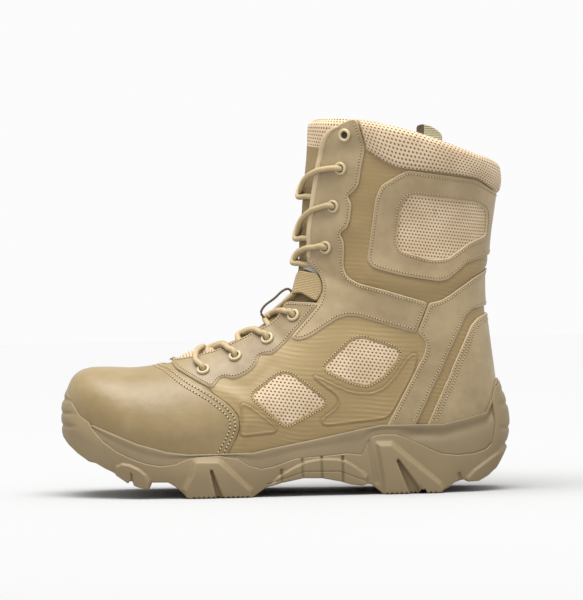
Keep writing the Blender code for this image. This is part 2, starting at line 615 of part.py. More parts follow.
def cup(name, outer_extra, inner_extra, top_drop, floor_drop, to_tread, collection, material_name=None):
    """The sole as a cup around the upper's lower edge, with walls moved out or in."""
    base_lift = (lambda x: 0.0) if to_tread else column("depth")
    rings = [
        rim_ring(column("base_out", outer_extra), lambda x: rim_value("tread", x) + base_lift(x)),
        rim_ring(column("belly_out", outer_extra), column("belly")),
        rim_ring(column("top_out", outer_extra), column("feather", -RIM_ROUND - top_drop)),
        rim_ring(lambda x: INNER_TOP_OUT + inner_extra, column("feather", -top_drop)),
        rim_ring(column("inner_out", inner_extra), inner_mid_height),
        rim_ring(column("inner_out", inner_extra), column("floor", FLOOR_LEDGE)),
        rim_ring(lambda x: FLOOR_IN, column("floor", floor_drop)),
    ]
    return ring_solid(name, rings, collection, material_name)


def moved_line(line, distance):
    """A side-view line moved sideways, to its left as it runs."""
    line = np.array(line)
    ahead = np.gradient(line, axis=0)
    left = np.stack([-ahead[:, 1], ahead[:, 0]], axis=1)
    left /= np.linalg.norm(left, axis=1, keepdims=True)
    return [tuple(point) for point in line + distance * left]


SIDE_FAR = 220.0


def above_wave():
    line = moved_line(WAVE_LINE, GAP / 2)
    return line + [(WAVE_LINE[0][0] + GAP / 2, WAVE_LINE[-1][1])]


def below_wave():
    line = moved_line(WAVE_LINE, -GAP / 2)
    top = WAVE_LINE[-1][1]
    return line + [(SIDE_FAR, top), (SIDE_FAR, -SIDE_FAR), (-SIDE_FAR, -SIDE_FAR), (-SIDE_FAR, top),
                   (WAVE_LINE[0][0] - GAP / 2, top)]


def arch_blocks():
    """The ribbed block under the arch, a piece between each two grooves."""
    tops_x = [x for x, _ in ARCH_TOP]
    tops_z = [z for _, z in ARCH_TOP]
    blocks = []
    for left, right in zip(ARCH_GROOVES, ARCH_GROOVES[1:]):
        start, end = left + ARCH_GROOVE_WIDTH / 2, right - ARCH_GROOVE_WIDTH / 2
        inside = [(x, z) for x, z in ARCH_TOP if start < x < end]
        top = [(start, np.interp(start, tops_x, tops_z))] + inside + [(end, np.interp(end, tops_x, tops_z))]
        blocks.append([(start, ARCH_BOTTOM_Z)] + top + [(end, ARCH_BOTTOM_Z)])
    return blocks


def tread_grooves():
    """Long boxes under the sole that part the lugs."""
    work = bmesh.new()
    for groove in TREAD_GROOVES:
        box = bmesh.ops.create_cube(work, size=1.0)["verts"]
        height = 2 * (GROOVE_DEPTH + rim_value("tread", groove.x))
        bmesh.ops.scale(work, verts=box, vec=(groove.length * MM, groove.width * MM, height * MM))
        turn = math.radians(groove.turn)
        for vertex in box:
            x, y, z = vertex.co
            vertex.co = Vector((x * math.cos(turn) - y * math.sin(turn),
                                x * math.sin(turn) + y * math.cos(turn), z))
        bmesh.ops.translate(work, verts=box, vec=metres((groove.x, groove.y, 0.0)))
    mesh = bpy.data.meshes.new("tread_grooves")
    work.to_mesh(mesh)
    work.free()
    return cutter_object("tread_grooves", mesh)


def make_sole():
    midsole = cup("midsole", 0.0, 0.0, 0.0, 0.0, False, PARTS, "midsole_rubber")
    boolean(midsole, "INTERSECT", prism("midsole_outline", [above_wave()], -Y_FAR, Y_FAR))
    outsole = cup("outsole", 0.0, 0.0, 0.0, 0.0, False, PARTS, "outsole_rubber")
    boolean(outsole, "INTERSECT", prism("outsole_outline", [below_wave()], -Y_FAR, Y_FAR))
    lugs = cup("lugs", LUG_PROUD, LUG_ROOT_OUT, LUG_ROOT_DROP, -LUG_ROOT_DROP, True, CUTTERS)
    blocks = list(LUG_BLOCKS.values()) + arch_blocks()
    boolean(lugs, "INTERSECT", prism("lug_outlines", blocks, -Y_FAR, Y_FAR))
    boolean(lugs, "DIFFERENCE", tread_grooves())
    apply_modifiers(lugs)
    lugs.hide_render = True
    lugs.display_type = "WIRE"
    boolean(outsole, "UNION", lugs)


def make_insole():
    edge = FLOOR_IN - INSOLE_EDGE_GAP
    rings = [rim_ring(lambda x: edge, column("floor", GAP)),
             rim_ring(lambda x: edge, column("floor", GAP + INSOLE_THICKNESS))]
    ring_solid("insole", rings, PARTS, "lining")


# Upper, tongue and overlays

def make_upper():
    upper = shell("upper", 0.0, WALL, False, "textile")
    boolean(upper, "DIFFERENCE", prism("ankle_notch", [ANKLE_NOTCH], -Y_FAR, Y_FAR))


def strip(name, rows, arcs, outer, thickness, material_name):
    """A padded strip on the upper's chart: rows of place and lift, arcs measured from the ridge."""
    points, faces = [], []
    for offset in (outer, outer - thickness):
        for place, lift in rows:
            for arc in arcs:
                side = LATERAL if arc < 0 else MEDIAL
                point = CHART.point(side, place, abs(arc) / CHART.half_length(side, place), offset)
                points.append(point + np.array([0.0, 0.0, lift]))
    width, depth = len(arcs), len(rows)

    def at(level, row, k):
        return level * width * depth + row * width + k

    for row in range(depth - 1):
        for k in range(width - 1):
            for level in (0, 1):
                faces.append((at(level, row, k), at(level, row, k + 1),
                              at(level, row + 1, k + 1), at(level, row + 1, k)))
        for k in (0, width - 1):
            faces.append((at(0, row, k), at(0, row + 1, k), at(1, row + 1, k), at(1, row, k)))
    for k in range(width - 1):
        for row in (0, depth - 1):
            faces.append((at(0, row, k), at(0, row, k + 1), at(1, row, k + 1), at(1, row, k)))
    made = mesh_object(name, points, faces, PARTS, material_name)
    face_outwards(made)
    return made


TONGUE_COLUMNS = 7
TONGUE_FOOT_DROP = 2.0


def make_tongue():
    """A padded strip under both facings, from the vamp to the collar."""
    rows = [(place, 0.0 if place > THROAT_START else -TONGUE_FOOT_DROP) for place in ROWS[TOE_ROWS - 1:]]
    arcs = np.linspace(-TONGUE_HALF_WIDTH, TONGUE_HALF_WIDTH, TONGUE_COLUMNS)
    strip("tongue", rows, arcs, -(WALL + TONGUE_GAP), TONGUE_THICKNESS, "textile")


def make_overlays():
    overlay("toe_cap", TOE_CAP, "leather", meets_sole=True)
    overlay("heel_counter", HEEL_COUNTER, "leather", meets_sole=True)
    overlay("collar_cuff", COLLAR_CUFF, "mesh", thickness=CUFF_THICKNESS)
    for word, side in SIDES.items():
        overlay("lower_eyestay_" + word, LOWER_EYESTAY, "leather", side)
        overlay("shaft_eyestay_" + word, SHAFT_EYESTAY, "leather", side)
        overlay("counter_panel_" + word, COUNTER_PANEL, "leather", side, meets_sole=True)
        overlay("shaft_frame_" + word, SHAFT_FRAME, "leather", side, window=MESH_WINDOW)


def make_eyelets():
    stand = GAP + OVERLAY_THICKNESS + GAP + EYELET_WIRE
    for word, side in SIDES.items():
        for number, (x, z) in enumerate(EYELETS, start=1):
            hit, normal = side_hit(side, x, z)
            bpy.ops.mesh.primitive_torus_add(
                major_segments=EYELET_SEGMENTS, minor_segments=EYELET_WIRE_SEGMENTS,
                major_radius=EYELET_RADIUS * MM, minor_radius=EYELET_WIRE * MM)
            ring = bpy.context.object
            ring.name = "eyelet_{}_{}".format(word, number)
            ring.location = metres(hit + stand * normal)
            ring.rotation_euler = normal.to_track_quat("Z", "Y").to_euler()
            ring.data.materials.append(material("eyelet_enamel"))
            for owner in list(ring.users_collection):
                owner.objects.unlink(ring)
            PARTS.objects.link(ring)


# Laces, loops and the small pieces

LACE_CLEARANCE = 1.5
LACE_HEIGHT_ON_FACING = GAP + OVERLAY_THICKNESS + LACE_CLEARANCE + LACE_DIAMETER / 2
LACE_HEIGHT_ON_TONGUE = -(WALL + TONGUE_GAP) + LACE_CLEARANCE + LACE_DIAMETER / 2
LACE_STEPS = 9
FACING_RISE = 8.0
FACING_LEAD = 1.0
LACE_END_GAP = 0.6
LACE_END_LIFT = 0.35
LACE_OVER = 0.6


def tube(name, points, diameter, material_name, collection):
    curve = bpy.data.curves.new(name, "CURVE")
    curve.dimensions = "3D"
    curve.bevel_depth = diameter / 2 * MM
    curve.bevel_resolution = 2
    curve.use_fill_caps = True
    spline = curve.splines.new("POLY")
    spline.points.add(len(points) - 1)
    for control, point in zip(spline.points, points):
        control.co = (*metres(point), 1.0)
    made = bpy.data.objects.new(name, curve)
    collection.objects.link(made)
    curve.materials.append(material(material_name))
    return made


def lace_path(side, start, end):
    """From beside an eyelet on one side, over its facing and the tongue, to a spot on the other side.

    start and end are a place along the sections and an arc from the ridge.
    """
    points = []
    for w in np.linspace(0, 1, LACE_STEPS):
        place = start[0] + (end[0] - start[0]) * w
        arc = start[1] - (start[1] + end[1]) * w
        here = side if arc >= 0 else -side
        length = CHART.half_length(here, place)
        edge = CHART.facing_share(here, place) * length
        rise = 0.0
        if here == side or end[1] > edge:
            rise = min(max((abs(arc) - edge + FACING_RISE + FACING_LEAD) / FACING_RISE, 0.0), 1.0)
        rise = rise * rise * (3 - 2 * rise)
        height = LACE_HEIGHT_ON_TONGUE + (LACE_HEIGHT_ON_FACING - LACE_HEIGHT_ON_TONGUE) * rise
        if side == MEDIAL:
            height += LACE_OVER
        points.append(CHART.point(here, place, abs(arc) / length, height))
    return points


def beside_eyelet(side, number):
    """Where a lace leaves an eyelet: just clear of the ring, towards the throat."""
    place, share = CHART.find(side, *EYELETS[number])
    clear = EYELET_RADIUS + EYELET_WIRE + LACE_END_GAP
    return place, share * CHART.half_length(side, place) - clear


def under_facing(side, place):
    """Where a lace meets the other facing's edge, stopped clear of it."""
    edge = CHART.facing_share(side, place) * CHART.half_length(side, place)
    return place, edge - LACE_DIAMETER / 2 - LACE_CLEARANCE


def make_laces():
    ends = [beside_eyelet(side, 0) for side in (LATERAL, MEDIAL)]
    tube("lace_bar", lace_path(LATERAL, *ends), LACE_DIAMETER, "lace_cord", PARTS)
    places = [CHART.find(LATERAL, *spot)[0] for spot in EYELETS]
    crossings = [(high, places[low] + LACE_END_LIFT * (places[high] - places[low]))
                 for high, low in LACE_CROSSINGS]
    crossings.append((LOOP_CROSSING_FROM, LOOP_PLACE))
    for number, (high, low_place) in enumerate(sorted(crossings), start=1):
        name = "lace_cross_{}".format(number)
        runs = [lace_path(side, beside_eyelet(side, high), under_facing(-side, low_place))
                for side in (LATERAL, MEDIAL)]
        first = solid_tube(name, runs[0], PARTS)
        second = solid_tube(name + "_other", runs[1], CUTTERS)
        second.hide_render = True
        second.display_type = "WIRE"
        boolean(first, "UNION", second)


def solid_tube(name, points, collection):
    """A tube as a mesh with its caps welded on, ready to be joined to another."""
    curve = tube(name + "_curve", points, LACE_DIAMETER, "lace_cord", collection)
    bpy.context.view_layer.update()
    graph = bpy.context.evaluated_depsgraph_get()
    mesh = bpy.data.meshes.new_from_object(curve.evaluated_get(graph))
    work = bmesh.new()
    work.from_mesh(mesh)
    bmesh.ops.remove_doubles(work, verts=work.verts, dist=0.01 * MM)
    bmesh.ops.recalc_face_normals(work, faces=work.faces)
    work.to_mesh(mesh)
    work.free()
    made = bpy.data.objects.new(name, mesh)
    collection.objects.link(made)
    bpy.data.objects.remove(curve, do_unlink=True)
    return made


LOOP_ROWS = 6
LOOP_COLUMNS = 6


def make_lace_loops():
    """Webbing across the notch at the ankle bend, one loop each side."""
    rows = [(place, 0.0) for place in np.linspace(*LOOP_PLACES, LOOP_ROWS)]
    for word, side in SIDES.items():
        arcs = side * np.linspace(*LOOP_ARCS, LOOP_COLUMNS)
        loop = strip("lace_loop_" + word, rows, arcs, LOOP_THICKNESS - LOOP_DEPTH, LOOP_THICKNESS, "webbing")
        boolean(loop, "INTERSECT", prism("lace_loop_outline_" + word, [LACE_LOOP], -Y_FAR, Y_FAR))


def make_collar_tab():
    """A small tab that stands on the outside of the medial cuff."""
    rows = [(COLLAR - 1.0, 0.0), (COLLAR, 0.0), (COLLAR, COLLAR_TAB_RISE)]
    outer = GAP + CUFF_THICKNESS + GAP + COLLAR_TAB_THICKNESS
    arcs = np.linspace(*COLLAR_TAB_ARCS, COLLAR_TAB_COLUMNS)
    strip("collar_tab", rows, arcs, outer, COLLAR_TAB_THICKNESS, "webbing")


CORD_STEPS = 10


def make_keeper_cord():
    """The thin cord from the tongue, over the lace, to the lateral webbing loop."""
    stops = np.array([list(stop) for stop in KEEPER_CORD])
    rows = np.vstack([2 * stops[0] - stops[1], stops, 2 * stops[-1] - stops[-2]])
    points = []
    for along in np.linspace(0, len(stops) - 1, CORD_STEPS):
        place, arc, height = smooth_row(rows, along)
        points.append(CHART.point(LATERAL, place, arc / CHART.half_length(LATERAL, place), height))
    tube("keeper_cord", points, CORD_DIAMETER, "dark_cord", PARTS)


clear_scene()
PARTS = new_collection(OBJECT_NAME)
CUTTERS = new_collection("cutters")
make_sole()
make_insole()
make_upper()
make_tongue()
make_overlays()
make_eyelets()
make_laces()
make_lace_loops()
make_collar_tab()
make_keeper_cord()
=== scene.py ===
# %% [markdown]
# A desert boot, dressed on its own frame.
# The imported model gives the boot's solids at their true size. This lesson replaces each plain solid with a
# finished piece: stitched leather panels, rippled textile, spacer mesh, woven lace and moulded rubber.
# Everything is worked out in millimetres on the boot's own surface and turned into metres at the end.

# %% Load the frame
import math
from collections import namedtuple

import bmesh
import bpy
import numpy as np
from mathutils import Matrix, Vector
from mathutils.geometry import delaunay_2d_cdt


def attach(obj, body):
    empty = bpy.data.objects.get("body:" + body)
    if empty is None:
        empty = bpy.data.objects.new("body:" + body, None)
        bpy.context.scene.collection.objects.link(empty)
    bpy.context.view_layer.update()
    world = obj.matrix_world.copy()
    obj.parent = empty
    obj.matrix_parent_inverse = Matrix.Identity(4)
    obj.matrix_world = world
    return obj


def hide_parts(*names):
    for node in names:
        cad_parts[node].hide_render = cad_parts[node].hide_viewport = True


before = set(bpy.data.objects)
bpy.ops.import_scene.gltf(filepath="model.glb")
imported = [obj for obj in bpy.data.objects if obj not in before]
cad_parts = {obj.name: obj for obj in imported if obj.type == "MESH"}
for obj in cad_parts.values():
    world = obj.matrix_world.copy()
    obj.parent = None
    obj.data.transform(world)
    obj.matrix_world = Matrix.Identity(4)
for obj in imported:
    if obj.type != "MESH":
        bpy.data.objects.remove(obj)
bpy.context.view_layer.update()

MM = 0.001
CENTRE = np.array([-0.25, 0.38, 0.0])
LATERAL, MEDIAL = -1, 1
SIDES, HALF = {"lateral": LATERAL, "medial": MEDIAL}, {LATERAL: 0, MEDIAL: 1}
UP, TINY = np.array([0.0, 0.0, 1.0]), 1e-9

# %% [markdown]
# The upper is pulled over a last, so one smooth surface carries every panel.
# Each row of this table is a flat cut through that surface, from the front ridge to the lower edge or the
# back seam. Rows could be lofted by hand as curves, but a table keeps the toe, instep and shaft adjustable.

# %% The last, section by section
Section = namedtuple("Section", "front_x front_z base_x base_z ridge_y lateral medial lateral_base "
                                "medial_base peak front_power base_power bow facing")
SECTIONS = [
    Section(-149.5, 62.0, -149.5, 62.0, 8.0, 0.0, 0.0, 0.95, 0.95, 0.62, 2.3, 2.2, 0.0, 0.0),
    Section(-147.0, 73.5, -147.3, 52.0, 8.0, 15.0, 14.0, 0.94, 0.94, 0.62, 2.3, 2.2, 0.0, 0.0),
    Section(-142.0, 81.6, -142.0, 46.0, 8.0, 26.0, 23.5, 0.94, 0.94, 0.65, 2.3, 2.2, 0.0, 0.0),
    Section(-133.5, 85.3, -133.0, 39.5, 7.5, 36.0, 32.0, 0.94, 0.94, 0.68, 2.3, 2.2, 0.0, 0.0),
    Section(-120.0, 85.7, -119.0, 31.5, 6.5, 45.0, 39.5, 0.95, 0.95, 0.70, 2.2, 2.2, 0.0, 0.0),
    Section(-102.0, 85.2, -100.0, 24.5, 5.0, 51.0, 45.5, 0.95, 0.95, 0.72, 2.1, 2.2, 0.0, 0.0),
    Section(-84.0, 88.0, -79.0, 21.0, 3.5, 54.0, 49.5, 0.95, 0.94, 0.72, 1.9, 2.2, 0.0, 0.0),
    Section(-66.0, 97.0, -58.0, 20.0, 2.5, 54.5, 49.5, 0.95, 0.93, 0.72, 1.75, 2.2, 0.0, 4.5),
    Section(-47.0, 104.0, -36.0, 20.3, 2.0, 53.0, 46.5, 0.95, 0.91, 0.70, 1.7, 2.2, 0.0, 6.0),
    Section(-28.0, 113.2, -12.0, 22.0, 1.5, 50.0, 43.0, 0.94, 0.88, 0.68, 1.7, 2.2, 0.0, 7.0),
    Section(-11.3, 124.8, 16.0, 26.0, 1.0, 46.5, 40.5, 0.93, 0.86, 0.65, 1.7, 2.2, 0.0, 9.0),
    Section(-1.8, 136.0, 46.0, 30.5, 0.5, 44.0, 39.5, 0.92, 0.87, 0.62, 1.7, 2.2, 0.0, 11.0),
    Section(3.8, 147.0, 78.0, 34.0, 0.0, 42.0, 39.5, 0.92, 0.91, 0.60, 1.75, 2.2, 0.0, 12.0),
    Section(6.3, 156.2, 106.0, 35.5, 0.0, 40.5, 39.5, 0.88, 0.88, 0.58, 1.8, 2.2, 0.0, 13.0),
    Section(7.6, 164.8, 127.0, 37.0, 0.0, 39.5, 39.5, 0.70, 0.70, 0.56, 1.8, 2.2, 0.0, 13.0),
    Section(8.5, 172.4, 139.0, 40.5, 0.0, 39.0, 39.0, 0.40, 0.40, 0.55, 1.8, 2.2, 0.0, 12.5),
    Section(9.2, 179.0, 144.3, 51.0, 0.0, 39.0, 39.0, 0.0, 0.0, 0.54, 1.8, 2.2, 0.0, 12.0),
    Section(9.9, 187.5, 142.3, 74.0, 0.0, 39.5, 39.5, 0.0, 0.0, 0.53, 1.8, 2.2, 0.5, 11.5),
    Section(10.6, 197.0, 139.5, 98.0, 0.0, 40.5, 40.5, 0.0, 0.0, 0.52, 1.8, 2.2, 1.0, 11.0),
    Section(11.3, 207.0, 136.6, 126.0, 0.0, 42.0, 42.0, 0.0, 0.0, 0.51, 1.8, 2.2, 2.0, 11.2),
    Section(12.0, 217.5, 136.2, 151.0, 0.0, 44.0, 44.0, 0.0, 0.0, 0.50, 1.8, 2.2, 3.5, 11.8),
    Section(12.7, 228.0, 139.0, 172.0, 0.0, 46.0, 46.0, 0.0, 0.0, 0.50, 1.85, 2.2, 5.0, 12.2),
    Section(13.4, 238.0, 142.0, 192.0, 0.0, 47.5, 47.5, 0.0, 0.0, 0.50, 1.9, 2.2, 6.5, 13.5),
    Section(14.0, 248.0, 144.4, 208.0, 0.0, 49.0, 49.0, 0.0, 0.0, 0.50, 1.9, 2.2, 8.0, 18.5),
    Section(15.5, 256.5, 146.3, 220.0, 0.0, 50.0, 50.0, 0.0, 0.0, 0.50, 1.95, 2.2, 9.8, 33.0),
]
THROAT_START, HEEL_BACK, COLLAR = 6, 16, len(SECTIONS) - 1
WALL = 2.4
FINE_ROWS, FINE_ACROSS, CUT_STEPS = 12, 128, 160


def lengths_along(line):
    """How far along a line each of its points lies."""
    return np.concatenate([[0], np.cumsum(np.linalg.norm(np.diff(line, axis=0), axis=1))])


def at_lengths(at, lengths, line):
    """Points of a line at other lengths along it."""
    return np.stack([np.interp(at, lengths, column) for column in line.T], axis=1)


def unit(vectors):
    return vectors / np.maximum(np.linalg.norm(vectors, axis=-1, keepdims=True), TINY)


def smooth_row(rows, along):
    """A row on the smooth curve through all rows but the first and last, which only guide it."""
    first = min(int(along), len(rows) - 4)
    f = along - first
    p0, p1, p2, p3 = rows[first:first + 4]
    return p1 + 0.5 * f * (p2 - p0 + f * (2 * p0 - 5 * p1 + 4 * p2 - p3 + f * (3 * (p1 - p2) + p3 - p0)))


def section_rows():
    table = np.array([list(section) for section in SECTIONS])
    before = table[1].copy()
    before[0:2], before[2:4] = table[1][2:4], table[1][0:2]
    before[5:7] = -table[1][5:7]
    guided = np.vstack([before, table, 2 * table[-1] - table[-2]])
    return [Section(*smooth_row(guided, place)) for place in PLACES]


def half_section(section, side):
    """One half of a cut, in even steps of arc: points, how far along the cut each is, facing and length."""
    width = max(section.lateral if side == LATERAL else section.medial, 1e-4)
    left = min(max(section.lateral_base if side == LATERAL else section.medial_base, 0.0), 0.99)
    n, m, peak = section.front_power, section.base_power, section.peak
    closing = peak + (1 - peak) / (1 - left ** m) ** (1 / m)
    last = math.asin(min(1.0, ((1 - peak) / (closing - peak)) ** (m / 2)))
    turn = np.linspace(0, math.pi / 2, CUT_STEPS)
    fall = np.linspace(0, last, CUT_STEPS)[1:]
    along = np.concatenate([peak * (1 - np.cos(turn).clip(0) ** (2 / n)),
                            peak + (closing - peak) * np.sin(fall) ** (2 / m)])
    out = np.concatenate([width * np.sin(turn) ** (2 / n), width * np.cos(fall).clip(0) ** (2 / m)])
    run_x, run_z = section.base_x - section.front_x, section.base_z - section.front_z
    length = max(math.hypot(run_x, run_z), 1e-4)
    lift = section.bow * 4 * along * (1 - along)
    points = np.stack([section.front_x + along * run_x - lift * run_z / length,
                       section.ridge_y + side * out,
                       section.front_z + along * run_z + lift * run_x / length], axis=1)
    arc = lengths_along(points)
    even = np.linspace(0, arc[-1], FINE_ACROSS)
    facing = np.interp(max(section.facing, 0.0) / length, along, arc) / max(arc[-1], 1e-6)
    return at_lengths(even, arc, points), np.interp(even, arc, along), facing, arc[-1]


PLACES = np.linspace(0, COLLAR, COLLAR * FINE_ROWS + 1)
ROWS = section_rows()
HALVES = [[half_section(row, side) for row in ROWS] for side in (LATERAL, MEDIAL)]
SKIN, ALONG, FACING, LENGTH = (np.array([[half[k] for half in halves] for halves in HALVES])
                               for k in range(4))


def skin_normals():
    """Outward normals, shared by both halves along the ridge, the back seam and the toe tip."""
    normals = np.empty_like(SKIN)
    for k, side in enumerate((LATERAL, MEDIAL)):
        normals[k] = unit(side * np.cross(np.gradient(SKIN[k], axis=0), np.gradient(SKIN[k], axis=1)))
    for rows, column in ((slice(None), 0), (slice(HEEL_BACK * FINE_ROWS, None), -1)):
        shared = normals[0, rows, column] + normals[1, rows, column]
        shared[:, 1] = 0
        normals[:, rows, column] = unit(shared)
    normals[:, 0, :] = (-1, 0, 0)
    return normals


NORMAL = skin_normals()
print("surface samples each side:", SKIN.shape[1:3])

# %% [markdown]
# A spot on the boot is named by its place along the table and its share of the way down a half, with a
# minus for the lateral half. These functions say where such a spot is in space and which way the surface
# faces there.

# %% Finding places on the surface


def lookup(table, place, share):
    """Smoothly read a surface table at any place and signed share."""
    half = (np.asarray(share) > 0).astype(int)
    row = np.clip(np.asarray(place, float) * FINE_ROWS, 0, len(PLACES) - 1.001)
    column = np.clip(np.abs(share) * (FINE_ACROSS - 1), 0, FINE_ACROSS - 1.001)
    i, j = row.astype(int), column.astype(int)
    f, g = (row - i)[..., None], (column - j)[..., None]
    near = table[half, i, j] * (1 - g) + table[half, i, j + 1] * g
    far = table[half, i + 1, j] * (1 - g) + table[half, i + 1, j + 1] * g
    return near * (1 - f) + far * f


def normal_at(place, share):
    return unit(lookup(NORMAL, place, share))


def skin(place, share, lift=0.0):
    """Points in millimetres on the upper, lifted off it by a distance."""
    place, share = np.broadcast_arrays(np.asarray(place, float), np.asarray(share, float))
    lift = np.broadcast_to(np.asarray(lift, float), place.shape)
    return lookup(SKIN, place, share) + lift[..., None] * normal_at(place, share)


print("toe tip and front of the collar:", np.round(skin([0, COLLAR], [0, 0]), 1).tolist())

# %% [markdown]
# Worn panels are never quite taut. Each crease is a line seen from the side, with a depth and a half width,
# and it is pressed into the surface before anything is laid on it. A depth with a minus makes a swell.

# %% Creases and swells
CREASES = [
    ([(108.0, 132.0), (122.0, 139.0), (141.0, 150.0)], 1.1, 3.5),
    ([(26.0, 150.0), (40.0, 143.5), (60.0, 136.5)], 0.9, 4.0),
    ([(28.0, 122.0), (50.0, 128.0), (88.0, 119.0)], -0.7, 7.0),
    ([(124.0, 108.0), (122.0, 84.0), (117.0, 60.0)], -0.6, 7.0),
    ([(-29.0, 62.0), (-26.0, 50.0), (-29.0, 38.0)], -0.5, 3.0),
    ([(-50.0, 75.0), (-38.0, 70.0), (-24.0, 62.0)], -0.7, 3.5),
    ([(-40.0, 77.0), (-24.0, 74.0), (-8.0, 88.0)], 0.6, 4.0),
    ([(26.0, 230.0), (42.0, 231.0), (56.0, 236.0)], 1.4, 7.0),
    ([(18.0, 178.0), (34.0, 178.0), (46.0, 180.0)], -1.2, 8.0),
    ([(64.0, 149.0), (86.0, 142.0), (108.0, 140.0), (134.0, 155.0)], -2.9, 9.0),
    ([(78.0, 186.0), (98.0, 186.0), (114.0, 186.0)], 1.6, 17.0),
    ([(144.0, 170.0), (148.0, 202.0)], -1.8, 12.0),
    ([(-12.0, 117.0), (-2.0, 106.0)], 0.8, 4.5),
    ([(-46.0, 95.0), (-36.0, 86.0)], 0.6, 4.5),
    ([(100.0, 100.0), (90.0, 80.0), (78.0, 54.0)], -0.5, 6.0),
]


def line_distance(points, line, closed=True):
    """How far points in the plane are from a line."""
    best = np.full(len(points), np.inf)
    ends = np.roll(line, -1, axis=0) if closed else line[1:]
    for a, b in zip(line if closed else line[:-1], ends):
        ab = b - a
        t = np.clip(((points - a) @ ab) / max(ab @ ab, 1e-12), 0, 1)
        best = np.minimum(best, ((points - a - t[:, None] * ab) ** 2).sum(1))
    return np.sqrt(best)


def crease_depth(seen):
    """How far the creases draw the surface in at spots seen from the side."""
    total = np.zeros(len(seen))
    for line, depth, half in CREASES:
        total += depth * np.exp(-(line_distance(seen, np.array(line), closed=False) / half) ** 2)
    return total


for k in range(2):
    drawn = crease_depth(SKIN[k][..., [0, 2]].reshape(-1, 2)).reshape(SKIN[k].shape[:2])
    SKIN[k] -= drawn[..., None] * NORMAL[k]
print("creases and swells:", len(CREASES))

# %% [markdown]
# Panels are drawn as they are seen from the side, so one function finds the spot that is seen at an x and z.
# Another says where a spot lands when it slides some millimetres over the surface.

# %% Spots seen from the side
SEAT_BATCH, SLIDE_STEP = 4000, 1e-3
FRONT = np.array([(row.front_x, row.front_z) for row in ROWS])
RUN = np.array([(row.base_x, row.base_z) for row in ROWS]) - FRONT
BOW = np.array([row.bow for row in ROWS])
RUN_LENGTH = np.maximum(np.hypot(RUN[:, 0], RUN[:, 1]), 1e-4)


def seat(side, x, z):
    """The place and signed share that is seen at x, z from one side."""
    x, z = np.atleast_1d(np.asarray(x, float)), np.atleast_1d(np.asarray(z, float))
    k = HALF[side]
    place, share = np.empty(len(x)), np.empty(len(x))
    shares = np.linspace(0, 1, FINE_ACROSS)
    for start in range(0, len(x), SEAT_BATCH):
        part = slice(start, start + SEAT_BATCH)
        rel_x = x[part, None] - FRONT[None, :, 0]
        rel_z = z[part, None] - FRONT[None, :, 1]
        along = (rel_x * RUN[:, 0] + rel_z * RUN[:, 1]) / RUN_LENGTH ** 2
        within = along.clip(0, 1)
        off = (rel_z * RUN[:, 0] - rel_x * RUN[:, 1]) / RUN_LENGTH - 4 * BOW * within * (1 - within)
        row = np.clip((off[:, 1:] > 0).sum(axis=1), 1, len(PLACES) - 2)
        pick = np.arange(len(row))
        here, there = off[pick, row], off[pick, row + 1]
        f = np.clip(here / np.where(np.abs(here - there) < TINY, TINY, here - there), 0, 1)
        at = along[pick, row] * (1 - f) + along[pick, row + 1] * f
        place[part] = (row + f) / FINE_ROWS
        share[part] = [np.interp(a, ALONG[k, r], shares) for a, r in zip(at, row)]
    return place, side * share


def seats(side, line):
    """The spots along a line of x and z seen from one side."""
    return np.stack(seat(side, *np.asarray(line).T), axis=1)


def slid(spots, direction):
    """Spots moved over the surface by a vector in millimetres for each."""
    (place, share), step = spots.T, SLIDE_STEP
    by_place = (skin(place + step, share) - skin(place - step, share)) / (2 * step)
    by_share = (skin(place, share + step) - skin(place, share - step)) / (2 * step)
    a, b, c = (by_place ** 2).sum(1), (by_place * by_share).sum(1), (by_share ** 2).sum(1)
    p, q = (by_place * direction).sum(1), (by_share * direction).sum(1)
    det = np.maximum(a * c - b * b, TINY)
    return np.stack([place + (c * p - b * q) / det, share + (a * q - b * p) / det], axis=1)


probe = seat(LATERAL, [0.0, 80.0], [80.0, 200.0])
print("test spots seen at (0, 80) and (80, 200):", np.round(skin(*probe), 1).tolist())

# %% [markdown]
# Finishes are node trees, but wiring nodes by hand hides the idea behind them.
# A tiny class wraps a socket so that shader maths reads like arithmetic, and one method makes any other node
# from its type, its settings and what goes into its sockets.

# %% A small shader language


def maths(operation, swapped=False):
    """A method that makes one maths node from a wire and, where it takes one, another value."""
    def method(wire, *other):
        values = other + (wire,) if swapped else (wire,) + other
        return wire.paint.node("ShaderNodeMath", {"operation": operation}, dict(enumerate(values)))
    return method


class Wire:
    """A shader output that can be used in sums."""

    __add__ = __radd__ = maths("ADD")
    __mul__ = __rmul__ = maths("MULTIPLY")
    __sub__, __rsub__ = maths("SUBTRACT"), maths("SUBTRACT", swapped=True)
    __truediv__, __rtruediv__ = maths("DIVIDE"), maths("DIVIDE", swapped=True)
    least, greatest = maths("MINIMUM"), maths("MAXIMUM")
    sine, whole, root = maths("SINE"), maths("ROUND"), maths("SQRT")

    def __init__(self, paint, socket):
        self.paint, self.socket = paint, socket

    def ramp(self, low, high):
        """0 below low, 1 above high, smooth between."""
        return self.paint.node("ShaderNodeMapRange", {"interpolation_type": "SMOOTHSTEP"},
                               {"Value": self, "From Min": low, "From Max": high})


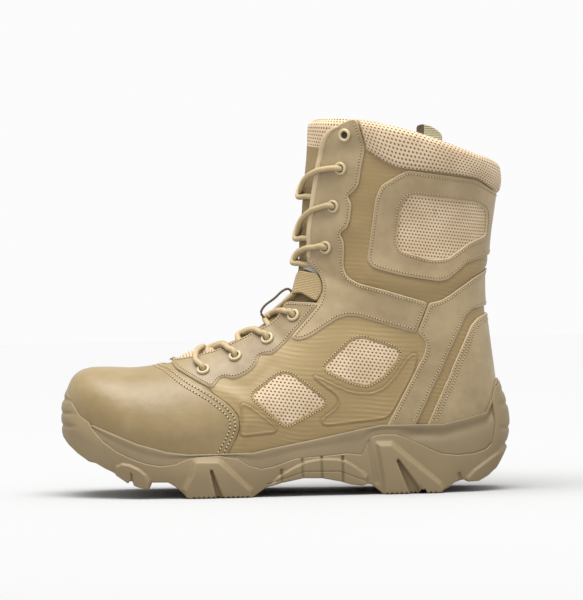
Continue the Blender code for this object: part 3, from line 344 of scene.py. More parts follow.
class Paint:
    """One material and the nodes that make it."""

    def __init__(self, name):
        self.material = bpy.data.materials.new(name)
        self.material.use_nodes = True
        self.tree = self.material.node_tree
        self.shader = self.tree.nodes["Principled BSDF"]

    def node(self, kind, settings, sockets, output=0):
        made = self.tree.nodes.new(kind)
        for name, value in settings.items():
            setattr(made, name, value)
        for name, value in sockets.items():
            self.feed(made.inputs[name], value)
        return Wire(self, made.outputs[output])

    def feed(self, socket, value):
        if isinstance(value, Wire):
            self.tree.links.new(value.socket, socket)
        else:
            socket.default_value = value

    def spot(self):
        """Object coordinates in millimetres, as three wires."""
        coords = self.node("ShaderNodeTexCoord", {}, {}, "Object")
        parts = self.tree.nodes.new("ShaderNodeSeparateXYZ")
        self.tree.links.new(coords.socket, parts.inputs[0])
        return [Wire(self, parts.outputs[k]) / MM for k in range(3)]

    def vector(self, x, y, z):
        return self.node("ShaderNodeCombineXYZ", {}, {0: x, 1: y, 2: z})

    def noise(self, size, detail=2.0, stretch=(1.0, 1.0, 1.0)):
        """Soft noise with features of about this many millimetres."""
        x, y, z = self.spot()
        where = self.vector(x * (stretch[0] / size), y * (stretch[1] / size), z * (stretch[2] / size))
        return self.node("ShaderNodeTexNoise", {}, {"Vector": where, "Scale": 1.0, "Detail": detail}, "Fac")

    def attribute(self, name):
        return self.node("ShaderNodeAttribute", {"attribute_name": name}, {}, "Fac")

    def mix(self, factor, first, second):
        return self.node("ShaderNodeMix", {"data_type": "RGBA"}, {0: factor, 6: first, 7: second}, 2)

    def bump(self, height, distance, strength=1.0, under=None):
        """A normal from heights in 0 to 1, where 1 stands out by a distance in millimetres."""
        sockets = {"Height": height, "Distance": distance * MM, "Strength": strength}
        if under:
            sockets["Normal"] = under
        return self.node("ShaderNodeBump", {}, sockets)

    def finish(self, **sockets):
        for name, value in sockets.items():
            self.feed(self.shader.inputs[name.replace("_", " ").title().replace("Ior", "IOR")], value)
        return self.material


def tone(red, green, blue):
    """A paint colour from 0 to 255 screen values."""
    def linear(v):
        v = v / 255
        return v / 12.92 if v <= 0.04045 else ((v + 0.055) / 1.055) ** 2.4
    return (linear(red), linear(green), linear(blue), 1.0)


print("shader helpers ready")

# %% [markdown]
# The smooth panels are tan corrected leather: fine pebble grain, a soft satin gloss and slow drifts in
# colour. Each cut edge is painted paler, partly its own tone and partly a painted highlight. Grain could be
# an image, but Voronoi cells at under a millimetre keep it sharp at any distance.

# %% Leather
CUT_EDGE_AND_HIGHLIGHT, EDGE_HIGHLIGHT_SHARE = tone(192, 175, 142), 0.7


def leather(name, colour, deep, gloss):
    paint = Paint(name)
    x, y, z = paint.spot()
    cells = paint.node("ShaderNodeTexVoronoi", {"feature": "DISTANCE_TO_EDGE"},
                       {"Vector": paint.vector(x, y, z), "Scale": 1.1}, "Distance")
    grain = cells.ramp(0.0, 0.35)
    drift = paint.noise(34.0, 3.0)
    shade = (drift * 0.75 + paint.noise(6.0) * 0.25).ramp(0.3, 0.72)
    dull = 0.06 * paint.noise(9.0) - 0.03
    # paler along the cut edge: the edge's own tone with a painted highlight
    cut = paint.attribute("rim").ramp(0.35, 0.95) * EDGE_HIGHLIGHT_SHARE
    surface_colour = paint.mix(shade, deep, colour)
    return paint.finish(base_color=paint.mix(cut, surface_colour, CUT_EDGE_AND_HIGHLIGHT), roughness=dull + gloss,
                        normal=paint.bump(grain, 0.06, 0.6, paint.bump(paint.noise(11.0, 2.0), 0.7, 0.45)))


LEATHER = leather("tan_leather", tone(156, 137, 104), tone(135, 116, 84), 0.44)
SMOOTH_LEATHER = leather("toe_leather", tone(134, 115, 78), tone(121, 102, 65), 0.42)
# the lower facings use a darker copy of the tan leather, which is painted shade
SHADED_FACING_LEATHER = leather("facing_leather_painted_shade", tone(137, 118, 86), tone(114, 96, 66), 0.46)
print("leathers:", LEATHER.name, SMOOTH_LEATHER.name, SHADED_FACING_LEATHER.name)

# %% [markdown]
# The quarters and shaft are a moulded textile whose surface runs in close wavy ripples.
# The ripples follow height on the boot, bent by a slow wave along it, so a sine of that makes their relief.

# %% Rippled textile
RIPPLE_PITCH, WEAVE_TURN = 3.1, 7.4


def ripple(name, colour, deep, dark):
    paint = Paint(name)
    x, _, z = paint.spot()
    bend = (x * 0.11).sine() * 0.9 + (x * 0.043 + 1.0).sine() * 1.6 + paint.noise(26.0) * 3.0
    wave = ((z + bend + x * 0.1) * (2 * math.pi / RIPPLE_PITCH)).sine() * 0.5 + 0.5
    weave = ((x + z) * WEAVE_TURN).sine() * ((x - z) * WEAVE_TURN).sine() * 0.5 + 0.5
    strength = paint.noise(18.0, 2.0, (0.6, 1.0, 1.4)).ramp(0.38, 0.72) * 0.85 + 0.15
    height = wave * strength * 0.9 + weave * 0.1
    shade = (wave * strength * 0.3 + paint.noise(30.0, 3.0, (0.5, 0.5, 1.6)) * 0.7).ramp(0.2, 0.85)
    # the pressed lines are darkened with painted shade in their grooves
    surface_colour = paint.mix(paint.attribute("pressed"), paint.mix(shade, deep, colour), dark)
    return paint.finish(base_color=surface_colour, roughness=0.56 - wave * 0.08, normal=paint.bump(height, 0.22, 0.6))


RIPPLE = ripple("rippled_textile", tone(152, 130, 88), tone(136, 114, 74), tone(94, 74, 42))
print("textile:", RIPPLE.name)

# %% [markdown]
# Vents, cuff and the tongue's ends are spacer mesh: a thick cream knit with rows of open eyes.
# Staggered rows of soft round eyes are worked out from two coordinates, darkened with painted shade and sunk
# where they open.

# %% Spacer mesh


def spacer_mesh(name, colour, eye, across, up, radius):
    """Mesh whose eyes sit in staggered rows, across and up being their spacing in millimetres."""
    paint = Paint(name)
    u, v = paint.attribute("knit_u"), paint.attribute("knit_v")

    def nearest(shift):
        du = u / across + shift
        dv = v / up + shift
        du, dv = (du - du.whole()) * across, (dv - dv.whole()) * up
        return (du * du + dv * dv * 1.25).root()

    distance = nearest(0.0).least(nearest(0.5))
    rim = distance.ramp(radius * 0.55, radius * 1.2)
    fuzz = paint.noise(0.7, 1.0)
    pale = paint.mix(paint.noise(18.0).ramp(0.3, 0.7), tone(184, 162, 132), colour)
    # the open eyes are coloured dark: painted shade in the holes
    return paint.finish(base_color=paint.mix(rim, eye, pale), roughness=0.88,
                        normal=paint.bump(rim * 0.85 + fuzz * 0.15, 0.6, 0.8))


MESH = spacer_mesh("spacer_mesh", tone(196, 176, 147), tone(104, 78, 52), 2.7, 4.5, 0.72)
print("mesh:", MESH.name)

# %% [markdown]
# Sole rubber is moulded: even in colour, matt, with the faint orange-peel of the mould, and paler at its
# sharp convex edges, which is a painted highlight. Webbing, linings and laces are woven from the numbers
# that each piece carries along and across itself.

# %% Rubber and small finishes
BRAID_TURN, BRAID_STRANDS, CLOTH_GLOSS = 4.6, 8, 0.85


def rubber(name, colour, deep, gloss):
    paint = Paint(name)
    # sharp convex edges, found from pointiness, are painted paler: a painted highlight
    edge = paint.node("ShaderNodeNewGeometry", {}, {}, "Pointiness").ramp(0.5, 0.56)
    mottle_and_edge_highlight = paint.noise(40.0, 3.0).ramp(0.3, 0.7) * 0.7 + edge * 0.3
    return paint.finish(base_color=paint.mix(mottle_and_edge_highlight, deep, colour), roughness=gloss,
                        normal=paint.bump(paint.noise(0.8, 1.0), 0.05, 0.5))


def plain_weave(name, colour, deep, pitch):
    """Close ribs along the piece's own length, for webbing and lining."""
    paint = Paint(name)
    u, v = paint.attribute("knit_u"), paint.attribute("knit_v")
    rib = (u * (2 * math.pi / pitch)).sine() * 0.5 + 0.5
    cross = (v * (2 * math.pi / pitch) * 0.8).sine() * 0.5 + 0.5
    height = rib * 0.3 + cross * 0.7
    return paint.finish(base_color=paint.mix(height, deep, colour), roughness=CLOTH_GLOSS,
                        normal=paint.bump(height, 0.25, 0.9))


def braid(name, colour, deep):
    """Round woven cord: strands that cross over each other along and around it."""
    paint = Paint(name)
    u, v = paint.attribute("knit_u"), paint.attribute("knit_v")
    along, around = u * BRAID_TURN, v * (BRAID_STRANDS * 2 * math.pi)
    height = (along + around).sine().greatest((along - around).sine()) * 0.5 + 0.5
    shade = height * 0.7 + paint.noise(7.0) * 0.3
    return paint.finish(base_color=paint.mix(shade, deep, colour), roughness=0.8,
                        normal=paint.bump(height, 0.12, 0.7))


def plain(name, colour, deep, gloss):
    paint = Paint(name)
    return paint.finish(base_color=paint.mix(paint.noise(3.0), deep, colour), roughness=gloss)


FLEECE = plain("pale_fleece", tone(166, 160, 150), tone(128, 121, 111), 0.95)
OUTSOLE = rubber("outsole_rubber", tone(131, 114, 83), tone(121, 104, 74), 0.56)
MIDSOLE = rubber("midsole_rubber", tone(126, 110, 81), tone(116, 100, 72), 0.5)
LINING = plain_weave("lining_cloth", tone(122, 110, 90), tone(98, 86, 68), 1.4)
WEBBING = plain_weave("ribbed_webbing", tone(172, 150, 110), tone(118, 98, 64), 0.9)
TONGUE_CLOTH = plain_weave("tongue_cloth", tone(146, 126, 88), tone(126, 106, 72), 0.6)
LACE = braid("woven_lace", tone(178, 159, 121), tone(140, 120, 88))
DARK_CORD = braid("dark_cord", tone(96, 84, 62), tone(58, 50, 38))
ENAMEL = plain("cream_enamel", tone(182, 166, 130), tone(168, 151, 116), 0.36)
THREAD = plain("seam_thread", tone(196, 176, 138), tone(176, 154, 116), 0.7)
EYELET_SHADE = plain("eyelet_painted_shade", tone(58, 48, 34), tone(44, 36, 26), 0.9)
NEEDLE_SHADE = plain("needle_painted_shade", tone(74, 56, 34), tone(58, 43, 26), 0.9)
BINDING = leather("edge_binding", tone(180, 162, 129), tone(166, 147, 114), 0.5)
print("materials:", len(bpy.data.materials))

# %% [markdown]
# Pieces are plain meshes made from points on the surface. Each one is told which solid it stands in for, so
# the boot keeps one list of parts. Grids make the pieces that wrap right round; cut panels come next.

# %% Making a piece


def dress(piece, replaces=()):
    """Hands a finished object to the frame."""
    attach(piece, "root")
    if replaces:
        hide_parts(*replaces)


def new_piece(name, points, faces, materials, replaces=(), layers=None, indices=None):
    """A smooth mesh from points in millimetres, with extra numbers on its vertices if a finish needs them."""
    mesh = bpy.data.meshes.new(name)
    mesh.from_pydata(((np.asarray(points, float) - CENTRE) * MM).tolist(), [], faces)
    for material in materials:
        mesh.materials.append(material)
    mesh.polygons.foreach_set("use_smooth", [True] * len(mesh.polygons))
    if indices is not None:
        mesh.polygons.foreach_set("material_index", indices)
    for layer, values in (layers or {}).items():
        mesh.attributes.new(layer, "FLOAT", "POINT").data.foreach_set("value", np.asarray(values, float))
    mesh.validate()
    piece = bpy.data.objects.new(name, mesh)
    bpy.context.scene.collection.objects.link(piece)
    dress(piece, replaces)
    print(name, "faces", len(mesh.polygons))
    return piece


def grid_faces(rows, columns, start=0, wrap_columns=False, wrap_rows=False, flip=False):
    """Four-cornered faces of a grid of points, numbered row by row."""
    faces = []
    for i in range(rows if wrap_rows else rows - 1):
        for j in range(columns if wrap_columns else columns - 1):
            a, b = i * columns + j, i * columns + (j + 1) % columns
            c, d = ((i + 1) % rows) * columns + (j + 1) % columns, ((i + 1) % rows) * columns + j
            corners = [a, b, c, d]
            if flip:
                corners.reverse()
            faces.append([start + k for k in corners])
    return faces


def end_faces(rows, columns):
    """Two faces that close a grid with joined rows at its first and last columns."""
    return [[i * columns + end for i in range(rows)] for end in (0, columns - 1)]


def turn_outwards(piece):
    work = bmesh.new()
    work.from_mesh(piece.data)
    bmesh.ops.recalc_face_normals(work, faces=work.faces)
    work.to_mesh(piece.data)
    work.free()


print("piece maker ready")

# %% [markdown]
# Outlines are lists of corners. They are resampled in even steps, their corners are eased, and points are
# tested against them. The smooth step is the gentle switch that shapes use wherever one form runs into
# another.

# %% Lines and rings


def even_line(line, step, closed=False):
    """A line resampled in even steps of about this length."""
    line = np.asarray(line, float)
    if closed:
        line = np.vstack([line, line[:1]])
    arc = lengths_along(line)
    count = max(int(round(arc[-1] / step)), 2)
    even = at_lengths(np.linspace(0, arc[-1], count + 1), arc, line)
    return even[:-1] if closed else even


def softened(line, reach, closed=False):
    """A line with its corners eased, reach being in samples."""
    line = np.asarray(line, float)
    window = np.exp(-0.5 * (np.arange(-3 * reach, 3 * reach + 1) / reach) ** 2)
    window /= window.sum()
    pad = len(window) // 2
    columns = []
    for k in range(line.shape[1]):
        if closed:
            padded = np.pad(line[:, k], pad, mode="wrap")
        else:
            padded = np.pad(line[:, k], pad, mode="reflect", reflect_type="odd")
        columns.append(np.convolve(padded, window, mode="valid"))
    return np.stack(columns, axis=1)


def inside(points, ring):
    """Which points lie inside a closed ring in the plane."""
    x, y = points[:, 0], points[:, 1]
    found = np.zeros(len(points), bool)
    for (x0, y0), (x1, y1) in zip(ring, np.roll(ring, -1, axis=0)):
        crosses = (y0 > y) != (y1 > y)
        if crosses.any():
            found ^= crosses & (x < (x1 - x0) * (y - y0) / ((y1 - y0) or 1e-12) + x0)
    return found


def smooth_step(value, low, high):
    t = np.clip((np.asarray(value, float) - low) / (high - low), 0, 1)
    return t * t * (3 - 2 * t)


print("half of a smooth step:", float(smooth_step(0.5, 0.0, 1.0)))

# %% [markdown]
# A panel's outline is drawn from the side as corners in x and z. Two stand-ins for x put a corner on the
# back seam or on the throat's edge instead. A panel that wraps round the heel is drawn once and mirrored
# over the back seam.

# %% Outlines on the surface
BACK, THROAT = 999.0, -999.0
CHART_SCALE = np.array([12.0, 110.0])  # roughly the millimetres in one place and in one share
BACK_ROWS = slice(HEEL_BACK * FINE_ROWS, None)
THROAT_PLACES = PLACES[THROAT_START * FINE_ROWS:]
OUTLINE_STEP, OUTLINE_EASE = 1.0, 1.3


def seam_place(z):
    """The place where the back seam is at this height."""
    return np.interp(z, SKIN[0, BACK_ROWS, -1, 2], PLACES[BACK_ROWS])


def facing_share(side, place):
    return side * np.interp(place, PLACES, FACING[HALF[side]])


def facing_place(side, z):
    """The place where the throat's edge is at this height."""
    edge = skin(THROAT_PLACES, facing_share(side, THROAT_PLACES))
    return np.interp(z, edge[:, 2], THROAT_PLACES)


def traced(side, outline, closed, step=OUTLINE_STEP, ease=OUTLINE_EASE):
    """Spots along an outline given by x and z, or by BACK or THROAT and z along those edges."""
    corners = []
    for x, z in outline:
        if x == BACK:
            corners.append((BACK, np.array([seam_place(z), side * 1.0])))
        elif x == THROAT:
            place = facing_place(side, z)
            corners.append((THROAT, np.array([place, facing_share(side, place)])))
        else:
            corners.append((None, seats(side, [(x, z)])[0]))
    spots = []
    ends = corners[1:] + corners[:1] if closed else corners[1:]
    for (kind, a), (other, b) in zip(corners, ends):
        pa, pb = skin(*a), skin(*b)
        count = max(int(np.linalg.norm(pb - pa) / step), 2)
        w = np.linspace(0, 1, count, endpoint=False)
        if kind is not None and kind == other:
            place = a[0] + (b[0] - a[0]) * w
            share = np.full(count, side * 1.0) if kind == BACK else facing_share(side, place)
        else:
            line = pa[None, [0, 2]] + w[:, None] * (pb - pa)[None, [0, 2]]
            place, share = seat(side, line[:, 0], line[:, 1])
            place[0], share[0] = a
        spots.append(np.stack([place, share], axis=1))
    if not closed:
        spots.append(corners[-1][1][None])
    ring = even_line(np.vstack(spots) * CHART_SCALE, step, closed)
    return (softened(ring, ease, closed) if ease else ring) / CHART_SCALE


def folded(spots):
    """Signed shares turned into distances from the back seam, so a panel can cross it, and back again."""
    sign = np.where(spots[:, 1] < 0, -1.0, 1.0)
    return np.stack([spots[:, 0], sign * (1 - np.abs(spots[:, 1]))], axis=1)


def wrapped_ring(outline):
    """A ring over both sides from a lateral outline that starts and ends on the back seam."""
    lateral, medial = (folded(traced(side, outline, False)) for side in (LATERAL, MEDIAL))
    return np.vstack([lateral, medial[::-1][1:-1]])


def real_spots(spots, wrap):
    return folded(spots) if wrap else spots


def on_skin(spots, wrap, lift=0.0):
    return skin(*real_spots(spots, wrap).T, lift)


print("back seam at 100 mm is at place", round(float(seam_place(100.0)), 2))

# %% [markdown]
# Leather panels are cut flat, skived thin at the edge and stitched down. Here the outline is stepped
# inwards over the surface, towards the panel's own material, and what it holds is filled with small
# triangles.

# %% Filling an outline
SAFE_SHARE, PROBE_STEP = 0.997, 0.3
ROW_SHARE, BORDER_GAP, SAME_POINT = 0.87, 0.55, 1e-7


def shifted(spots, wrap, direction):
    """Spots of a panel moved over the surface by a vector in millimetres for each."""
    where = real_spots(spots, wrap)
    safe = np.stack([where[:, 0], where[:, 1].clip(-SAFE_SHARE, SAFE_SHARE)], axis=1)
    change = slid(safe, direction) - safe
    if wrap:
        change[:, 1] *= -1.0
    return spots + change


def stepped_in(ring, wrap, distance, outer=True):
    """A closed ring moved over the surface towards the panel's own material."""
    points = on_skin(ring, wrap)
    tangent = unit(np.roll(points, -1, axis=0) - np.roll(points, 1, axis=0))
    across = np.cross(normal_at(*real_spots(ring, wrap).T), tangent)

    def area(loop):
        x, y = (loop * CHART_SCALE).T
        return abs(np.sum(x * np.roll(y, -1) - y * np.roll(x, -1)))

    smaller = area(shifted(ring, wrap, across * PROBE_STEP)) < area(ring)
    return shifted(ring, wrap, across * distance * (1.0 if smaller == outer else -1.0))


def filled(rings, spacing, spots_of, flat_of):
    """Fills the first ring but not the others: spots, the rings' own first, and triangles between them."""
    flats = [flat_of(ring) for ring in rings]

    def held(points):
        return inside(points, flats[0]) & ~np.any([inside(points, ring) for ring in flats[1:]], axis=0)

    low, high = flats[0].min(axis=0), flats[0].max(axis=0)
    us = np.arange(low[0] + spacing / 2, high[0], spacing)
    vs = np.arange(low[1] + spacing / 2, high[1], spacing * ROW_SHARE)
    u, v = np.meshgrid(us, vs)
    u = u + np.where(np.arange(len(vs)) % 2 == 0, 0, spacing / 2)[:, None]
    middle = np.stack([u.ravel(), v.ravel()], axis=1)
    middle = middle[held(middle)]
    if len(middle):
        near = np.min([line_distance(middle, ring) for ring in flats], axis=0)
        middle = middle[near > BORDER_GAP * spacing]
    edges, start = [], 0
    for ring in flats:
        edges += [(start + k, start + (k + 1) % len(ring)) for k in range(len(ring))]
        start += len(ring)
    every = np.vstack(flats + [middle])
    made, _, faces, origin, _, _ = delaunay_2d_cdt([Vector(p) for p in every], edges, [], 0, SAME_POINT)
    number, added = [], []
    for point, source in zip(made, origin):
        if source:
            number.append(source[0])
        else:
            number.append(len(every) + len(added))
            added.append((point[0], point[1]))
    if added:
        middle = np.vstack([middle, added])
        every = np.vstack([every, added])
    triangles = np.array([[number[k] for k in face] for face in faces])
    spots = np.vstack(rings + [spots_of(middle)]) if len(middle) else np.vstack(rings)
    return spots, triangles[held(every[triangles].mean(axis=1))]


print("filler ready")

# %% [markdown]
# One function cuts every panel: rings for the turned edge, a face that may carry relief, and a plain
# underside. It also leaves numbers on the mesh for the finishes: how near the cut edge is, and where a knit
# would run.

# %% Cutting a panel
EDGE_PROFILE = [(0.0, 0.0), (0.05, 0.5), (0.22, 0.84), (0.6, 0.97), (1.2, 1.0)]  # inset and share of the lift
RELIEF_FROM, UNDER_SPACING = 0.9, 9.0
ROUND_HEEL, KNIT_SLANT = (0.8, 48.0, 70.0, 105.0), 0.13


def chart_flat(spots):
    return spots * CHART_SCALE


def chart_spots(flat):
    return flat / CHART_SCALE


def knit_layers(points):
    """Coordinates in millimetres along and up a panel for woven finishes, carried on round the heel."""
    gain, reach, first, last = ROUND_HEEL
    round_back = gain * (reach - np.abs(points[:, 1])).clip(0) * smooth_step(points[:, 0], first, last)
    return {"knit_u": points[:, 0] + round_back, "knit_v": points[:, 2] + KNIT_SLANT * points[:, 0]}


def panel(name, outer, material, low, high, replaces=(), slot=None, holes=(), wrap=False, spacing=1.6,
          relief=None, spots_of=chart_spots, flat_of=chart_flat):
    """A panel with turned edges, its face lifted from low at the rim to high, plus relief where given."""
    points, faces, rim, rims, tops, count = [], [], [], [], [], 0
    for ring, is_outer in [(outer, True)] + [(hole, False) for hole in holes]:
        size, start = len(ring), count
        for inset, height in EDGE_PROFILE:
            here = stepped_in(ring, wrap, inset, is_outer) if inset else ring
            lift = low + (high - low) * height
            if relief is not None and height > RELIEF_FROM:
                lift = lift + relief(here)
            points.append(on_skin(here, wrap, lift))
            rim.append(np.full(size, 1.0 - inset / EDGE_PROFILE[-1][0]))
            count += size
        faces += grid_faces(len(EDGE_PROFILE), size, start, wrap_columns=True)
        rims.append((ring, start))
        tops.append((here, count - size))
    for edges, gap, is_top in ((tops, spacing, True), (rims, UNDER_SPACING, False)):
        spots, triangles = filled([ring for ring, _ in edges], gap, spots_of, flat_of)
        border = np.concatenate([np.arange(start, start + len(ring)) for ring, start in edges])
        extra = spots[len(border):]
        if len(extra):
            lift = low if not is_top else high if relief is None else high + relief(extra)
            points.append(on_skin(extra, wrap, lift))
            rim.append(np.zeros(len(extra)))
        number = np.concatenate([border, count + np.arange(len(extra))])
        faces += number[triangles if is_top else triangles[:, ::-1]].tolist()
        count += len(extra)
    points = np.vstack(points)
    layers = dict(knit_layers(points), rim=np.concatenate(rim))
    piece = new_piece(name, points, faces, [material], replaces, layers)
    turn_outwards(piece)
    return piece


print("panel cutter ready")

# %% [markdown]
# The upper itself is one lasted wall: rippled textile outside, cloth lining inside, open at collar and
# throat. At the ankle bend its front edge is notched so that the webbing can pull through.

# %% The lasted wall
ANKLE_NOTCH = np.array([(-20.0, 128.0), (22.6, 129.4), (26.8, 137.0), (26.8, 143.3), (23.7, 150.6),
                        (14.0, 158.1), (-20.0, 160.0)])
WALL_ROWS, WALL_COLUMNS = 200, 56
WALL_TOP, NOTCH_REACH, NOTCH_STEPS = COLLAR - 0.45, 0.7, 240


def front_edge(side):
    """Share where the wall starts at each place: the ridge, the throat's edge or the notch's edge."""
    rows = np.linspace(0, WALL_TOP, WALL_ROWS)
    start = np.where(rows > THROAT_START, facing_share(side, rows), 0.0)
    shares = np.linspace(0, NOTCH_REACH, NOTCH_STEPS)
    seen = skin(rows[:, None] + 0 * shares, side * shares + 0 * rows[:, None])[..., [0, 2]]
    held = inside(seen.reshape(-1, 2), ANKLE_NOTCH).reshape(len(rows), -1)
    reach = np.where(held, shares, 0).max(axis=1)
    edge = np.maximum(np.abs(start), reach)
    blend = smooth_step(rows, THROAT_START - 0.02, THROAT_START + 0.25)
    return rows, side * edge * np.where(rows > THROAT_START, blend, 1.0)


def lasted_wall():
    points, faces, indices = [], [], []
    count = 0
    for side in (LATERAL, MEDIAL):
        rows, start = front_edge(side)
        across = np.linspace(0, 1, WALL_COLUMNS)
        share = start[:, None] + (side - start[:, None]) * across
        place = np.broadcast_to(rows[:, None], share.shape)
        for depth in (0.0, -WALL):
            points.append(skin(place, share, depth).reshape(-1, 3))
            flip = (side == MEDIAL) != (depth < 0)
            made = grid_faces(WALL_ROWS, WALL_COLUMNS, count, flip=flip)
            faces += made
            indices += [0 if depth == 0.0 else 1] * len(made)
            count += share.size
        size = share.size
        outer, inner = count - 2 * size, count - size
        rims = [(np.arange(WALL_ROWS) * WALL_COLUMNS, side == LATERAL),
                ((WALL_ROWS - 1) * WALL_COLUMNS + np.arange(WALL_COLUMNS), side == LATERAL),
                (np.arange(WALL_ROWS) * WALL_COLUMNS + WALL_COLUMNS - 1, side == MEDIAL)]
        for line, flip in rims:
            for a, b in zip(line[:-1], line[1:]):
                corners = [outer + a, inner + a, inner + b, outer + b]
                faces.append([int(k) for k in (corners[::-1] if flip else corners)])
                indices.append(0)
    points = np.vstack(points)
    layers = {"knit_u": points[:, 0], "knit_v": points[:, 2]}
    new_piece("lasted_wall", points, faces, [RIPPLE, LINING], ["upper"], layers, indices)


lasted_wall()

# %% [markdown]
# Over the wall lie the smooth leather parts: toe cap, facings, ankle strap, counter, and the frame round the
# shaft's vent. Their outlines are drawn from the side and mirrored on the inner side of the foot.

# %% Leather panels
TOE_SEAM = [(-83.5, 93.0), (-76.0, 87.0), (-64.5, 78.6), (-48.5, 69.8), (-37.5, 62.0), (-31.5, 55.0),
            (-31.0, 46.5), (-34.0, 39.0), (-41.0, 27.0)]
LOWER_EYESTAY = [(-73.5, 86.3), (-51.0, 73.2), (-48.6, 72.5), (-46.0, 76.2), (-43.9, 80.2), (-40.8, 81.2),
                 (-35.1, 79.0), (-25.5, 82.5), (-18.8, 88.0), (-16.9, 95.2), (-7.8, 94.9), (2.8, 105.3),
                 (22.4, 126.6), (22.6, 129.6), (5.4, 130.3), (1.5, 129.5), (THROAT, 120.8), (THROAT, 93.5),
                 (-77.0, 91.0)]
SHAFT_EYESTAY = [(51.3, 254.6), (53.9, 246.8), (56.5, 233.2), (54.5, 221.8), (52.4, 209.3), (49.7, 205.2),
                 (44.5, 201.7), (47.7, 197.0), (46.6, 184.4), (45.1, 180.3), (39.8, 176.7), (42.5, 171.0),
                 (41.4, 153.3), (43.5, 147.0), (50.8, 142.6), (69.4, 138.0), (97.4, 129.0), (89.0, 108.6),
                 (50.4, 120.2), (43.4, 120.8), (36.4, 118.6), (16.3, 106.1), (9.4, 104.3), (4.2, 106.2),
                 (24.7, 128.8), (26.8, 137.0), (26.8, 143.3), (23.7, 150.6), (THROAT, 158.1),
                 (THROAT, 253.5)]
COUNTER_PANEL = [(BACK, 150.5), (126.8, 144.8), (113.3, 134.7), (106.0, 130.2), (98.0, 128.8), (90.0, 108.6),
                 (96.3, 102.0), (93.3, 93.1), (69.3, 47.8), (66.5, 43.0), (86.0, 43.0), (88.3, 47.3),
                 (113.3, 99.6), (122.3, 119.3), (127.2, 124.1), (BACK, 125.2)]
HEEL_COUNTER = [(BACK, 120.3), (130.2, 117.2), (125.3, 112.2), (96.3, 47.5), (94.0, 42.0), (121.0, 46.0),
                (139.0, 51.0), (BACK, 55.0)]
SHAFT_FRAME = [(BACK, 201.5), (131.1, 211.4), (100.8, 216.3), (85.2, 218.9), (77.9, 214.9), (67.4, 208.9),
               (63.3, 199.6), (60.2, 178.9), (57.5, 158.1), (61.2, 153.9), (80.0, 148.1), (104.0, 143.3),
               (109.1, 144.3), (121.7, 155.3), (BACK, 161.6)]
SHAFT_WINDOW = [(80.0, 191.9), (83.1, 199.1), (88.3, 202.1), (131.1, 195.7), (137.0, 190.4), (135.6, 173.7),
                (125.8, 168.8), (111.2, 158.7), (100.8, 158.0), (78.9, 164.8), (76.9, 171.1)]
LEATHER_LOW, LEATHER_HIGH = 0.1, 1.65
TOE_COLUMNS, TOE_ROWS, TOE_EASE, TOE_BUNCH, TOE_UNDER = 181, 120, 2, 0.8, 6
TOE_INSET = np.array([0.0, 0.004, 0.018, 0.05, 0.1])


def toe_cap():
    """A grid from the seam to the toe tip, over both sides."""
    lines = [traced(side, TOE_SEAM, False) for side in (LATERAL, MEDIAL)]
    shares = np.linspace(-1, 1, TOE_COLUMNS)
    halves = [(s, lines[int(s >= 0)]) for s in shares]
    ends = [np.interp(abs(s), np.abs(line[:, 1]), line[:, 0]) for s, line in halves]
    back = softened(np.array(ends)[:, None], TOE_EASE)[:, 0]
    edge = LEATHER_LOW + (LEATHER_HIGH - LEATHER_LOW) * np.array([height for _, height in EDGE_PROFILE])
    body = np.linspace(0.0, 1.0, TOE_ROWS)[1:]
    place = np.vstack([back - TOE_INSET[:, None]] +
                      [((back - TOE_INSET[-1]) * (1 - t ** TOE_BUNCH))[None] for t in body])
    lift = np.concatenate([edge, np.full(len(body), LEATHER_HIGH)])
    share = np.broadcast_to(shares, place.shape)
    top = skin(place, share, lift[:, None] + 0 * share).reshape(-1, 3)
    under = skin(place[::TOE_UNDER], share[::TOE_UNDER], LEATHER_LOW).reshape(-1, 3)
    faces = grid_faces(len(place), TOE_COLUMNS)
    faces += grid_faces(len(place[::TOE_UNDER]), TOE_COLUMNS, len(top), flip=True)
    new_piece("toe_cap_skin", np.vstack([top, under]), faces, [SMOOTH_LEATHER], ["toe_cap"])


def leather_panel(name, ring, replaces, material=LEATHER, **more):
    panel(name, ring, material, LEATHER_LOW, LEATHER_HIGH, replaces, "leather", **more)


WINDOWS = {side: traced(side, SHAFT_WINDOW, True) for side in (LATERAL, MEDIAL)}
toe_cap()
leather_panel("heel_counter_skin", wrapped_ring(HEEL_COUNTER), ["heel_counter"], wrap=True)
leather_panel("counter_panel_skin", wrapped_ring(COUNTER_PANEL),
              ["counter_panel_lateral", "counter_panel_medial"], wrap=True)
leather_panel("shaft_frame_skin", wrapped_ring(SHAFT_FRAME), ["shaft_frame_lateral", "shaft_frame_medial"],
              wrap=True, holes=[folded(WINDOWS[side]) for side in (LATERAL, MEDIAL)])
for word, side in SIDES.items():
    leather_panel("lower_eyestay_skin_" + word, traced(side, LOWER_EYESTAY, True), ["lower_eyestay_" + word],
                  SHADED_FACING_LEATHER)
    leather_panel("shaft_eyestay_skin_" + word, traced(side, SHAFT_EYESTAY, True), ["shaft_eyestay_" + word])

# %% [markdown]
# Each quarter is one moulded panel with two vents cut in it. Lines are pressed into it: a triangle behind
# the toe and a long wave under the vents, both with a thin groove darkened by painted shade and a soft raised
# bank. The panel is filled finely so the pressed lines are real relief; the mesh of the vents lies behind it.

